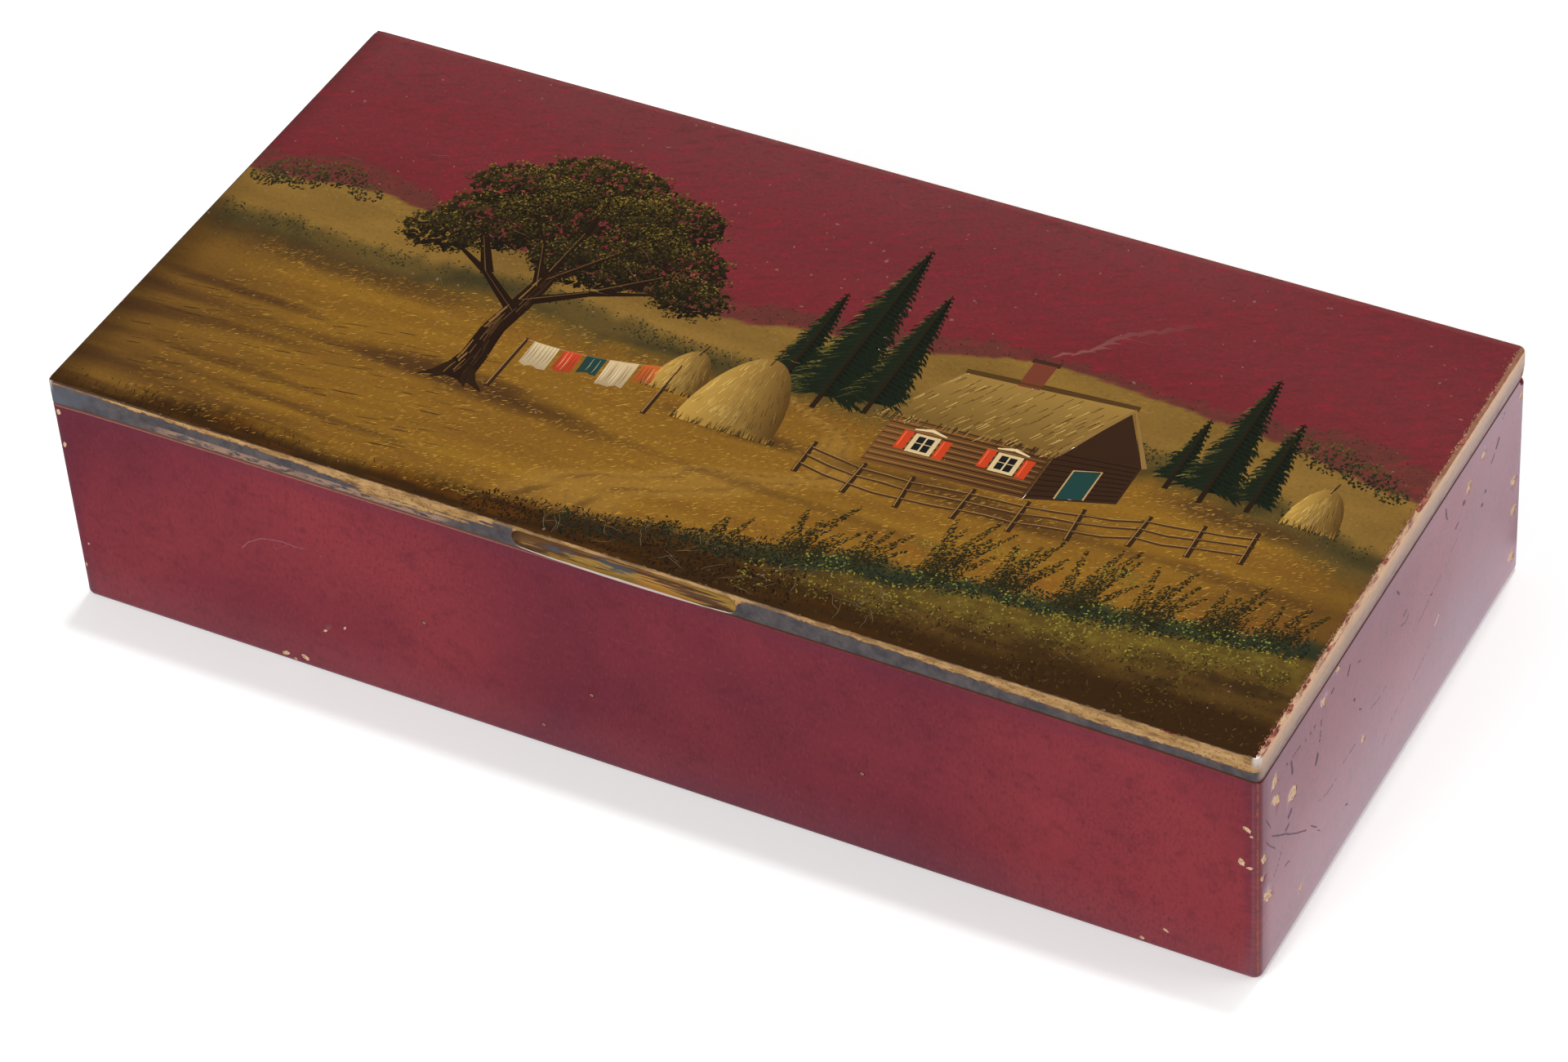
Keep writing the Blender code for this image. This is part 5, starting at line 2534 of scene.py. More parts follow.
@dataclass
class LidPicture:
    """The painting on the lid: a ground coat and the strokes and dabs laid over it."""

    finishes: Finishes
    face_z: float
    scene: Landscape = Landscape()
    coat: float = 0.02 * MM
    grid_step: float = 0.6
    margins: tuple[float, float, float, float] = (0.5, 0.85, 0.42, 0.45)

    def build(self) -> None:
        """Build the ground coat and every layer of strokes."""
        self._ground_coat()
        self.dab_tree = self._dab_tree()
        self._distance()
        self._common()
        self._oak()
        self._spruces()
        self._cottage()
        self._yard()
        self._undergrowth()
        self._age_marks()

    def _on_lid(self, u: float, v: float, lift: float) -> Vector:
        """Return the point `lift` above the ground coat, all in millimetres."""
        return Vector((u * MM - HALF_X, v * MM - HALF_Y, self.face_z + self.coat + lift * MM))

    def _add(self, name: str, mesh: bpy.types.Mesh) -> None:
        """Put a layer of strokes on the lid."""
        add_piece(name, mesh, Body.LID, (self.finishes.strokes,))

    def _strew(self, name: str, layers: Sequence[tuple[Region, Dabs]]) -> None:
        """Strew dabs over regions, all as one piece.

        Args:
            name: The piece's name.
            layers: The regions with their dabs, in order.
        """
        bm = bmesh.new()
        for region, dabs in layers:
            grown = self.dab_tree.grow(name, dabs.sizes(), region.mesh())
            bm.from_mesh(grown)
            bpy.data.meshes.remove(grown)
        self._add(name, mesh_of(name, bm, DAB_ANGLE))

    def _region(
        self,
        low: Line,
        high: Line,
        start: float,
        end: float,
        lift: float,
        lit: Light,
    ) -> Region:
        """Return a region on the lid that is the stretch between two lines.

        Args:
            low: Lower line's v at u.
            high: Upper line's v at u.
            start: Where it starts, u.
            end: Where it ends, u.
            lift: Height in millimetres.
            lit: How lit a place (u, v) is, from 0 to 1.

        Returns:
            The region.
        """
        region = Region(self._on_lid)
        region.strip(low, high, start, end, lift, lit)
        return region

    def _ground_coat(self) -> None:
        """Lay the thin coat of paint that carries the landscape's tones."""
        front, right, back, left = self.margins
        columns = round(self.scene.width / self.grid_step)
        rows = round(self.scene.depth / self.grid_step)
        bm = bmesh.new()
        paint = bm.verts.layers.float_color.new(PAINT)
        grid = []
        for i in range(columns + 1):
            line = []
            for j in range(rows + 1):
                u = left + (self.scene.width - left - right) * i / columns
                v = front + (self.scene.depth - front - back) * j / rows
                tone = under_varnish(*self.scene.tone(u, v))
                if i == 0:
                    u += 0.06 * fine_noise(v * 1.7, 1.0)
                if i == columns:
                    u += 0.3 * noise.noise((v * 2.3, 2.0, 0.0)) + 0.3 * min(
                        0.0, noise.noise((v * 0.5, 5.0, 0.0))
                    )
                if j == 0:
                    v += 0.06 * fine_noise(u * 1.7, 3.0)
                if j == rows:
                    v += 0.05 * fine_noise(u * 1.7, 4.0)
                made = bm.verts.new(self._on_lid(u, v, 0.0))
                made[paint] = (*tone, 1.0)
                line.append(made)
            grid.append(line)
        join_columns(bm, grid)
        border = [row[0] for row in grid] + grid[-1][1:] + [
            row[-1] for row in reversed(grid[:-1])
        ] + list(reversed(grid[0][1:-1]))
        foot = []
        for vert in border:
            low = bm.verts.new((vert.co.x, vert.co.y, self.face_z - 0.02 * MM))
            low[paint] = vert[paint]
            foot.append(low)
        for i in range(len(border)):
            j = (i + 1) % len(border)
            bm.faces.new((border[j], border[i], foot[i], foot[j]))
        bm.faces.new(list(reversed(foot)))
        add_piece(
            "picture_ground", mesh_of("picture_ground", bm), Body.LID,
            (self.finishes.picture,)
        )

    def _dab_tree(self) -> FormDesk:
        """Write the tree that strews low, pointed dabs of paint over a region.

        Returns:
            The desk with the tree.
        """
        desk = FormDesk("paint_dabs", takes_mesh=True)
        density = desk.size("Density", 1e6)
        shortest = desk.size("Shortest", 0.0005)
        longest = desk.size("Longest", 0.001)
        width = desk.size("Width", 0.0003)
        crown = desk.size("Crown", 0.00002)
        least_turn = desk.size("Least Turn", 0.0)
        most_turn = desk.size("Most Turn", 3.0)
        dark = desk.size("Dark", (0.0, 0.0, 0.0, 1.0))
        middle = desk.size("Middle", (0.5, 0.5, 0.5, 1.0))
        light = desk.size("Light", (1.0, 1.0, 1.0, 1.0))
        spread = desk.size("Spread", 0.3)
        patchiness = desk.size("Patchiness", 0.0)
        patch_scale = desk.size("Patch Scale", 60.0)
        seed = desk.size("Seed", 1)

        at = desk.wire("GeometryNodeInputPosition", {})
        clouds = desk.wire(
            "ShaderNodeTexNoise", {"Vector": at, "Scale": patch_scale, "Detail": 2.0}, "Fac"
        )
        kept = desk.math("MULTIPLY_ADD", desk.rise(clouds, 0.42, 0.6), patchiness, 1.0 - patchiness)
        inputs = {"Mesh": desk.entry.outputs["Geometry"], "Density": density * kept, "Seed": seed}
        dots = desk.wire(
            "GeometryNodeDistributePointsOnFaces", inputs, "Points", distribute_method="RANDOM"
        )

        lit = desk.wire(
            "GeometryNodeInputNamedAttribute", {"Name": "lit"}, "Attribute", data_type="FLOAT"
        )
        chance = desk.chance(spread * -1.0, spread, seed + 1)
        level = desk.math("ADD", lit, chance, clamp=True)
        low = desk.mix(desk.rise(level, 0.05, 0.5), dark, middle)
        tone = desk.mix(desk.rise(level, 0.5, 0.95), low, light)
        inputs = {"Geometry": dots, "Name": PAINT, "Value": tone}
        toned = desk.wire(
            "GeometryNodeStoreNamedAttribute", inputs, data_type="FLOAT_COLOR", domain="POINT"
        )

        dab = desk.wire(
            "GeometryNodeMeshCone", {"Vertices": 6, "Radius Bottom": 0.5, "Depth": 1.0}, "Mesh"
        )
        lengths = desk.chance(shortest, longest, seed + 2)
        widths = width * desk.chance(0.6, 1.2, seed + 3)
        crowns = crown * desk.chance(0.5, 1.0, seed + 4)
        turns = desk.join(0.0, 0.0, desk.chance(least_turn, most_turn, seed + 5))
        inputs = {
            "Points": toned, "Instance": dab, "Rotation": turns,
            "Scale": desk.join(lengths, widths, crowns)
        }
        placed = desk.wire("GeometryNodeInstanceOnPoints", inputs)
        desk.close(placed, self.finishes.strokes)
        return desk

    def _distance(self) -> None:
        """Strew the sky's soft red streaks, the far woods, the ridge and the hedges below it."""
        scene = self.scene
        sky = self._region(
            lambda u: scene.hills(u) + 2.0, lambda u: 100.6, 1.5, 207.5, -0.006, lambda u,
            v: 0.35 + 0.3 * smooth(v, 98, 72)
        )
        woods = self._region(
            lambda u: scene.horizon(u) + 0.2, scene.hills, 2, 207, -0.006, lambda u,
            v: 0.3 + 0.3 * fine_noise(u * 0.2, v * 0.3)
        )
        ridge = self._region(
            lambda u: scene.horizon(u) - 3.4, lambda u: scene.horizon(u) - 0.2, 2, 207, -0.006,
            lambda u, v: 0.5
        )
        hedges = self._region(
            lambda u: scene.meadow(u) - 2.5, lambda u: scene.meadow(u) + 1.6, 2, 207, -0.004,
            lambda u, v: 0.35 + 0.06 * (v - scene.meadow(u))
        )
        copse = Region(self._on_lid)
        for u, v, size in (
            (9, 62, 5.5), (16, 64.5, 4.5), (4.6, 59.5, 3.4), (22, 62, 3.2), (193, 65, 5.2),
            (200, 63.5, 4.6), (204.6, 61, 2.8), (187, 66.5, 3.4)
        ):
            copse.disc(u, v, size, size * 0.72, 0.008, -0.06)
        layers = [
            (
                sky,
                Dabs(
                    1.7, (0.5, 1.6), 0.15, (-60, 40), (102, 44, 49), (134, 42, 52), (164, 42, 56),
                    0.5, 0.8, 34.0, 0.024, 3
                )
            ),
            (
                woods,
                Dabs(
                    1.3, (0.5, 1.1), 0.5, (20, 160), (70, 46, 42), (92, 56, 48), (112, 66, 50), 0.4,
                    0.6, 90.0, 0.02, 5
                )
            ),
            (
                ridge,
                Dabs(
                    1.1, (0.8, 2.2), 0.22, (-10, 14), (104, 80, 42), (140, 108, 50), (176, 138, 66),
                    0.4, 0.6, 60.0, 0.014, 6
                )
            ),
            (
                hedges,
                Dabs(
                    2.6, (0.4, 1.0), 0.42, (10, 170), (42, 44, 32), (66, 62, 36), (112, 98, 46),
                    0.35, 0.8, 75.0, 0.022, 7
                )
            ),
            (
                copse,
                Dabs(
                    4.0, (0.4, 0.9), 0.42, (20, 160), (40, 38, 30), (60, 56, 36), (98, 84, 44),
                    0.36, 0.3, 120.0, 0.024, 29
                )
            ),
        ]
        self._strew("picture_distance", layers)

    def _common(self) -> None:
        """Strew the open ground with fine golden flecks and grass."""
        scene = self.scene
        flecks = self._region(
            lambda u: scene.bank(u) + 1.0, lambda u: scene.meadow(u) - 5.0, 12, 204, -0.006,
            lambda u, v: 0.45 + 0.2 * smooth(u, 20, 60)
        )
        tufts = self._region(
            lambda u: scene.meadow(u) - 11.0, lambda u: scene.meadow(u) - 2.5, 3, 207, -0.004,
            lambda u, v: 0.45
        )
        strokes = self._region(
            lambda u: 8.0, lambda u: 34.0, 5.2, 66, -0.006, lambda u, v: 0.3 + 0.004 * u
        )
        layers = [
            (
                strokes,
                Dabs(
                    0.2, (3.0, 9.0), 0.3, (3, 13), (60, 44, 31), (84, 60, 36), (118, 84, 40), 0.5,
                    0.8, 34.0, 0.022, 12
                )
            ),
            (
                flecks,
                Dabs(
                    1.9, (0.8, 1.9), 0.16, (8, 60), (120, 84, 36), (152, 110, 43), (202, 156, 68),
                    0.5, 0.6, 42.0, 0.019, 11
                )
            ),
            (
                tufts,
                Dabs(
                    1.1, (0.4, 0.9), 0.16, (60, 120), (62, 52, 32), (96, 76, 38), (140, 110, 50),
                    0.45, 0.75, 50.0, 0.018, 13
                )
            ),
        ]
        self._strew("picture_common", layers)

    def _oak(self) -> None:
        """Paint the spreading oak: its trunk and limbs, then its crown."""
        book = StrokeBook("picture_oak_trunk", self._on_lid)
        rng = random.Random(21)
        trunk = [(59.0, 27.0), (59.6, 33.0), (59.0, 40.0), (60.0, 47.0), (61.0, 57.0)]
        book.stroke(trunk, [6.4, 4.6, 4.0, 3.8, 2.8], (44, 31, 24), 0.016, 0.018)
        for _ in range(60):
            share = rng.random()
            across = rng.uniform(-0.46, 0.46)
            start = self._along(trunk, share)
            end = self._along(trunk, min(1.0, share + rng.uniform(0.05, 0.14)))
            wide = 5.0 - 1.9 * share
            tone = blended(
                min(1.0, max(0.0, 0.5 - across * 1.3 + rng.uniform(-0.25, 0.25))), (38, 27, 22),
                (136, 98, 54)
            )
            book.stroke(
                [(start[0] + across * wide, start[1]), (end[0] + across * wide * 0.9, end[1])],
                [0.34, 0.2], tone, 0.03, 0.012
            )
        for side, far in ((-1, 5.4), (1, 6.0), (-1, 3.2), (1, 3.0)):
            book.stroke(
                [(59 + side * 1.2, 30.4), (59 + side * far * 0.6, 27.2), (59 + side * far, 25.8)],
                [2.2, 1.4, 0.3], (50, 36, 26), 0.014, 0.02
            )
        limbs = (
            ((60, 45), (51, 52), (42, 57)), ((60, 48), (69, 54), (79, 58)),
            ((60.5, 52), (56, 62), (49, 71)), ((61, 54), (68, 64), (74, 73)),
            ((60.5, 56), (61, 67), (60, 79)), ((51, 52), (46, 60), (39, 64)),
            ((70, 55), (78, 62), (84, 63)),
        )
        for limb in limbs:
            book.stroke(list(limb), [2.2, 1.4, 0.45], (42, 30, 24), 0.016, 0.02)
            book.stroke(
                [(u - 0.4, v + 0.25) for u, v in limb[:2]], [0.34, 0.16], (104, 76, 44), 0.032, 0.01
            )
        self._add("picture_oak_trunk", book.mesh())

        lumps = [
            (61, 69, 17, 11), (45, 64, 10, 7.5), (77, 65, 11, 8), (58, 79, 13, 7.5),
            (72, 75, 10, 7.5), (46, 73, 10, 7), (84, 59.5, 7, 5), (38.5, 58.5, 7, 5),
            (64, 60, 10, 5.5)
        ]
        shade, leaves, sprigs = (Region(self._on_lid) for _ in range(3))
        for i, (u, v, long, short) in enumerate(lumps):
            shade.disc(u, v, long * 0.96, short * 0.96, 0.004 + 0.001 * i, -0.14)
            for k in range(6):
                angle = math.tau * k / 6 + i
                at = (u + 0.58 * long * math.cos(angle), v + 0.58 * short * math.sin(angle))
                leaves.disc(*at, 0.44 * long, 0.46 * short, 0.02, -0.14 + 0.2 * math.sin(angle))
            for k in range(11):
                angle = math.tau * k / 11 + 2 * i
                sprigs.disc(
                    u + 0.98 * long * math.cos(angle), v + 0.98 * short * math.sin(angle), 1.5, 1.1,
                    0.02, -0.05 + 0.12 * math.sin(angle)
                )
        layers = [
            (
                shade,
                Dabs(
                    2.4, (0.9, 1.8), 0.85, (0, 180), (36, 29, 23), (46, 39, 26), (64, 54, 32), 0.3,
                    0.0, 60.0, 0.018, 17
                )
            ),
            (
                leaves,
                Dabs(
                    3.0, (0.35, 0.75), 0.28, (0, 180), (38, 33, 22), (74, 62, 30), (138, 116, 52),
                    0.26, 0.5, 120.0, 0.026, 19
                )
            ),
            (
                sprigs,
                Dabs(
                    3.0, (0.35, 0.8), 0.32, (0, 180), (44, 36, 24), (72, 60, 30), (130, 108, 48),
                    0.36, 0.3, 200.0, 0.024, 20
                )
            ),
        ]
        self._strew("picture_oak_crown", layers)

    def _spruces(self) -> None:
        """Paint spruces, each a row of drooping boughs down a thin trunk."""
        book = StrokeBook("picture_spruces", self._on_lid)
        rng = random.Random(27)
        for u, v, tall, wide in (
            (107, 47, 24, 8), (122.5, 47, 30, 10.5), (114.5, 45, 41, 14), (178.5, 49, 30, 10.5),
            (186, 50, 21, 7.5), (172.5, 50, 16, 6)
        ):
            book.stroke(
                [(u, v - 1.5), (u + 0.1, v + tall * 0.5), (u, v + tall)], [1.0, 0.7, 0.2],
                (46, 34, 26), 0.01, 0.02
            )
            steps = int(tall / 1.6)
            for side in (-1, 1):
                edge = []
                for k in range(steps + 1):
                    half = wide / 2 * (k / steps) ** 0.85 * 0.86
                    level = v + tall * (0.985 - 0.92 * k / steps)
                    edge += [
                        (u + side * half * rng.uniform(0.62, 0.8), level + 0.5),
                        (u + side * half * rng.uniform(0.95, 1.1), level)
                    ]
                tone = (38, 42, 30) if side < 0 else (28, 31, 25)
                foot = [(u + side * 0.05, v + tall * 0.04), (u + side * 0.05, v + tall * 0.99)]
                book.shape((foot + edge)[::-side], tone, 0.012, 0.05)
            for row in range(int(tall / 1.05)):
                share = (row + 0.6) / (tall / 1.05)
                level = v + tall * (1 - share * 0.94)
                half = wide / 2 * share**0.85 * rng.uniform(0.82, 1.12)
                for side in (-1, 1):
                    count = 2 + int(half * 1.5)
                    for k in range(count):
                        out = (k + rng.random()) / count
                        start = (u + side * half * out * 0.8, level - half * 0.16 * out)
                        reach = half * 0.32 + 0.35
                        end = (start[0] + side * reach, start[1] - reach * rng.uniform(0.5, 0.95))
                        lit = rng.random() * (0.95 if side < 0 else 0.5) * (0.4 + 0.6 * out)
                        tone = blended(smooth(lit, 0.35, 0.95), (32, 38, 28), (116, 104, 48))
                        mid = (
                            (start[0] + end[0]) / 2 + side * 0.08, (start[1] + end[1]) / 2 + 0.12
                        )
                        book.stroke(
                            [start, mid, end], [0.28, 0.42, 0.1], tone, 0.02 + 0.012 * out, 0.016
                        )
        self._add("picture_spruces", book.mesh())

    @staticmethod
    def _along(line: Sequence[Spot], share: float) -> Spot:
        """Return the point at a share of a line's stretches.

        Args:
            line: The line's points.
            share: The share, from 0 to 1.

        Returns:
            The point.
        """
        at = share * (len(line) - 1)
        i = min(int(at), len(line) - 2)
        return blended(at - i, line[i], line[i + 1])

    def _cottage(self) -> None:
        """Paint a log cottage with a thatched roof, red shutters and a smoking chimney."""
        book = StrokeBook(
            "picture_cottage", lambda a, b,
            lift: self._on_lid(127 + 1.42 * (a - 139), 35.5 + 1.42 * (b - 42.5), lift)
        )
        rng = random.Random(33)
        wall = [(139, 42.5), (158, 44.0), (158, 52.5), (139, 51.5)]
        gable = [(158, 44.0), (167.5, 47.2), (167.5, 53.6), (162.6, 61.6), (158, 52.5)]
        roof = [(137.4, 50.6), (158.6, 51.8), (163.0, 62.2), (143.2, 60.6)]
        book.shape(
            wall, lambda u, v: blended(smooth(u, 139, 158), (116, 78, 42), (84, 56, 34)), 0.022
        )
        book.shape(gable, (60, 41, 29), 0.02)
        book.shape(
            roof, lambda u, v: blended(smooth(v, 50, 62), (116, 88, 44), (156, 122, 62)), 0.03
        )
        for i in range(9):
            share = (i + 0.5) / 9
            v0, v1 = 42.5 + 8.6 * share, 44.0 + 8.2 * share
            book.stroke(
                [(139.1, v0), (148, (v0 + v1) / 2), (157.9, v1)], [0.2, 0.28, 0.2], (50, 34, 25),
                0.024, 0.012
            )
            book.stroke(
                [(139.3, v0 + 0.4), (157.6, v1 + 0.4)], [0.26, 0.16], (154, 108, 58), 0.024, 0.01
            )
            book.stroke(
                [(158.1, 44.2 + 8.4 * share), (167.2, 47.3 + 6.4 * share)], [0.2, 0.2],
                (34, 25, 20), 0.022, 0.012
            )
        for u, v in ((144.2, 47.5), (153.8, 48.3)):
            self._pane(book, u, v, 1.5, 1.6, (212, 186, 138), 0.038)
            for side in (-0.52, 0.52):
                self._pane(book, u + side, v, 0.44, 1.2, (34, 34, 34), 0.044)
            book.stroke(
                [(u - 1.2, v), (u + 1.2, v + 0.1)], [0.16, 0.16], (206, 178, 130), 0.05, 0.01
            )
            for side in (-2.3, 2.3):
                self._pane(book, u + side, v, 0.6, 1.6, (196, 66, 36), 0.038)
                book.stroke(
                    [(u + side - 0.3, v - 1.2), (u + side - 0.3, v + 1.3)], [0.14, 0.14],
                    (232, 112, 64), 0.045, 0.01
                )
            book.stroke(
                [(u - 1.9, v + 2.0), (u, v + 2.5), (u + 1.9, v + 2.1)], [0.2, 0.5, 0.2],
                (222, 198, 150), 0.04, 0.016
            )
        book.shape(
            [(161.0, 45.3), (163.9, 46.3), (163.9, 51.2), (161.0, 50.2)], (38, 68, 64), 0.034
        )
        book.stroke(
            [(161.0, 45.3), (161.0, 50.3), (163.9, 51.3), (163.9, 46.3)], [0.24, 0.24, 0.24, 0.24],
            (186, 150, 100), 0.038, 0.012
        )
        for _ in range(190):
            share, deep = rng.random(), rng.random()
            u = 143.4 + 19.2 * share + (137.6 + 20.8 * share - 143.4 - 19.2 * share) * deep
            v = 60.4 + 1.5 * share + (50.8 + 1.1 * share - 60.4 - 1.5 * share) * deep
            tone = rng.choice(
                ((92, 68, 36), (126, 96, 48), (176, 140, 74), (200, 166, 96), (78, 56, 32))
            )
            book.stroke([(u, v), (u - 0.75, v - 1.3)], [0.22, 0.1], tone, 0.031, 0.012)
        for _ in range(60):
            share = rng.random()
            u, v = 137.4 + 21.2 * share, 50.6 + 1.2 * share
            book.stroke(
                [(u, v + 0.5), (u - 0.2, v - rng.uniform(0.4, 0.9))], [0.3, 0.1],
                rng.choice(((66, 48, 30), (140, 108, 56))), 0.034, 0.014
            )
        book.stroke(
            [(143.0, 60.6), (153, 61.5), (163.2, 62.4)], [0.9, 1.0, 0.8], (84, 60, 34), 0.034, 0.016
        )
        book.stroke(
            [(158.2, 52.4), (162.9, 62.0), (167.8, 53.6)], [0.6, 0.7, 0.6], (142, 108, 60), 0.036,
            0.016
        )
        book.shape(
            [(149.2, 60.6), (151.8, 60.8), (151.9, 65.2), (149.2, 65.0)], (118, 62, 46), 0.04
        )
        book.stroke([(148.9, 65.2), (152.2, 65.4)], [0.7, 0.7], (70, 44, 34), 0.042, 0.012)
        for k in range(9):
            u, v = 150.6 + 1.2 * k + 0.7 * math.sin(k), 66.5 + 1.2 * k
            book.stroke(
                [(u, v), (u + 0.8, v + 1.1), (u + 2.3, v + 1.6)],
                [0.2 + 0.1 * k, 0.7 + 0.1 * k, 0.1], blended(k / 9, (132, 84, 76), (120, 54, 58)),
                0.004, 0.01
            )
        self._add("picture_cottage", book.mesh())

    @staticmethod
    def _pane(
        book: StrokeBook,
        u: float,
        v: float,
        half_u: float,
        half_v: float,
        tone: Colour,
        lift: float,
    ) -> None:
        """Lay an upright rectangle that leans with the cottage's wall.

        Args:
            book: The book of strokes it goes into.
            u: Its middle, along.
            v: Its middle, up.
            half_u: Half its width.
            half_v: Half its height.
            tone: Its tone, from 0 to 255.
            lift: Its height above the ground coat.
        """
        tilt = 0.06 * half_u
        corners = [
            (u - half_u, v - half_v - tilt), (u + half_u, v - half_v + tilt),
            (u + half_u, v + half_v + tilt), (u - half_u, v + half_v - tilt)
        ]
        book.shape(corners, tone, lift)

    def _yard(self) -> None:
        """Paint hay stacks, a rail fence and washing on a line."""
        book = StrokeBook("picture_yard", self._on_lid)
        rng = random.Random(41)
        for u0, v0, wide, tall in (
            (104, 33.5, 17.0, 18.0), (92.5, 38.5, 9.5, 10.0), (196, 49, 9.0, 9.5)
        ):
            self._stack(book, rng, u0, v0, wide, tall)
        line = [
            (119, 29.0), (128, 27.6), (137, 27.8), (146, 29.0), (155, 29.8), (164, 31.6),
            (173, 34.2), (182, 35.6), (190, 37.4)
        ]
        for k, (u, v) in enumerate(line):
            lean = 0.5 * math.sin(2.3 * k)
            book.stroke([(u, v), (u + lean, v + 7.6)], [1.0, 0.8], (56, 40, 29), 0.044, 0.018)
            book.stroke(
                [(u - 0.26, v + 0.2), (u + lean - 0.24, v + 7.4)], [0.28, 0.22], (150, 112, 62),
                0.056, 0.01
            )
        for (u0, v0), (u1, v1) in zip(line, line[1:]):
            for up in (2.2, 4.3, 6.2):
                sag = rng.uniform(-0.5, 0.3)
                mid = ((u0 + u1) / 2, (v0 + v1) / 2 + up + sag)
                book.stroke(
                    [(u0 - 0.5, v0 + up), mid, (u1 + 0.5, v1 + up)], [0.48, 0.56, 0.44],
                    (70, 50, 34), 0.04, 0.018
                )
                book.stroke(
                    [(u0, v0 + up + 0.14), (mid[0], mid[1] + 0.16), (u1, v1 + up + 0.14)],
                    [0.17, 0.22, 0.15], (162, 122, 68), 0.053, 0.01
                )
        self._washing(book, rng)
        self._add("picture_yard", book.mesh())

    def _stack(
        self,
        book: StrokeBook,
        rng: random.Random,
        u0: float,
        v0: float,
        wide: float,
        tall: float,
    ) -> None:
        """Paint one hay stack.

        Args:
            book: The book of strokes it goes into.
            rng: Chance for its straws.
            u0: Middle of its foot, along.
            v0: Its foot, away.
            wide: Its width.
            tall: Its height.
        """
        lift = 0.012 + 0.0022 * wide
        outline = []
        for k in range(-2, 25):
            sine = math.sin(math.pi * k / 22)
            up = sine**0.8 if sine > 0 else 0.15 * sine
            outline.append(
                (u0 + wide / 2 * math.cos(math.pi * k / 22) * (1 - 0.2 * sine), v0 + tall * up)
            )
        book.shape(
            outline, lambda u,
            v: blended(smooth(u, u0 - wide / 2, u0 + wide / 2), (186, 146, 70), (88, 62, 32)), lift
        )
        for _ in range(int(15 * wide)):
            angle = rng.uniform(0.04, 0.96) * math.pi
            share = rng.uniform(0.1, 0.97)
            u = u0 + wide / 2 * math.cos(angle) * (1 - 0.2 * math.sin(angle)) * share
            v = v0 + tall * math.sin(angle) ** 0.8 * share
            lean = (u - u0) / wide * 1.8
            lit = min(1.0, max(0.0, 0.5 - (u - u0) / wide * 1.1 + rng.uniform(-0.3, 0.3)))
            book.stroke(
                [(u - lean * 0.4, v + 0.9), (u + lean * 0.4, v - 0.7)], [0.1, 0.22],
                blended(lit, (70, 50, 30), (222, 184, 102)), lift + 0.001, 0.012
            )
        book.stroke(
            [(u0, v0 + tall * 0.9), (u0 + 0.5, v0 + tall * 1.18)], [0.4, 0.2], (62, 44, 31), lift,
            0.02
        )
        for _ in range(int(5 * wide)):
            u = u0 + rng.uniform(-0.55, 0.55) * wide
            tone = rng.choice(((76, 56, 32), (150, 114, 52), (56, 44, 28)))
            book.stroke(
                [(u, v0 - 0.8), (u + rng.uniform(-0.5, 0.5), v0 + rng.uniform(0.2, 1.0))],
                [0.26, 0.08], tone, lift + 0.006, 0.014
            )

    def _washing(self, book: StrokeBook, rng: random.Random) -> None:
        """Paint a line between two posts with cloths hung over it.

        Args:
            book: The book of strokes it goes into.
            rng: Chance for the folds.
        """
        start, end = (65.0, 40.0), (91.0, 43.5)
        for u, v in ((65.2, 27.5), (91.0, 31.5)):
            book.stroke([(u, v), (u + 0.2, v + 12.8)], [0.9, 0.6], (58, 42, 30), 0.03, 0.018)
            book.stroke(
                [(u - 0.24, v + 0.3), (u, v + 12.4)], [0.26, 0.2], (158, 120, 72), 0.042, 0.01
            )
        sagging = [
            (
                start[0] + (end[0] - start[0]) * t,
                start[1] + (end[1] - start[1]) * t - 5.2 * t * (1 - t)
            )
            for t in (k / 12 for k in range(13))
        ]
        book.stroke(sagging, [0.14] * 13, (176, 140, 96), 0.03, 0.014)
        for share, wide, drop, tone in (
            (0.07, 4.6, 5.6, (216, 192, 148)), (0.28, 3.2, 5.0, (204, 70, 40)),
            (0.43, 3.4, 4.2, (36, 70, 66)), (0.58, 4.8, 6.2, (208, 182, 138)),
            (0.79, 2.8, 4.4, (196, 96, 44)),
        ):
            u, v = self._along(sagging, share)
            top = [
                (u + wide * t, self._along(sagging, share + wide * t / 26)[1] + 0.15)
                for t in (0, 0.25, 0.5, 0.75, 1)
            ]
            hem = [
                (a + 0.15 + 0.2 * math.sin(3 * a), b - drop + 0.3 * math.sin(2.2 * a))
                for a, b in top
            ]
            book.shape(
                hem + top[::-1], lambda a,
                b: blended(0.3 * smooth(b, v, v - drop), tone, (70, 52, 36)), 0.036
            )
            for k in range(int(wide * 1.6)):
                t = (k + rng.uniform(0.2, 0.8)) / (wide * 1.6)
                a, b = u + wide * t, v + 0.1
                fold = blended(0.5, tone, rng.choice(((60, 44, 34), (246, 226, 190))))
                book.stroke(
                    [
                        (a, b - 0.2), (a + 0.12, b - drop * 0.5),
                        (a + 0.05, b - drop * rng.uniform(0.75, 0.95))
                    ],
                    [0.12, 0.26, 0.1], fold, 0.04, 0.01
                )

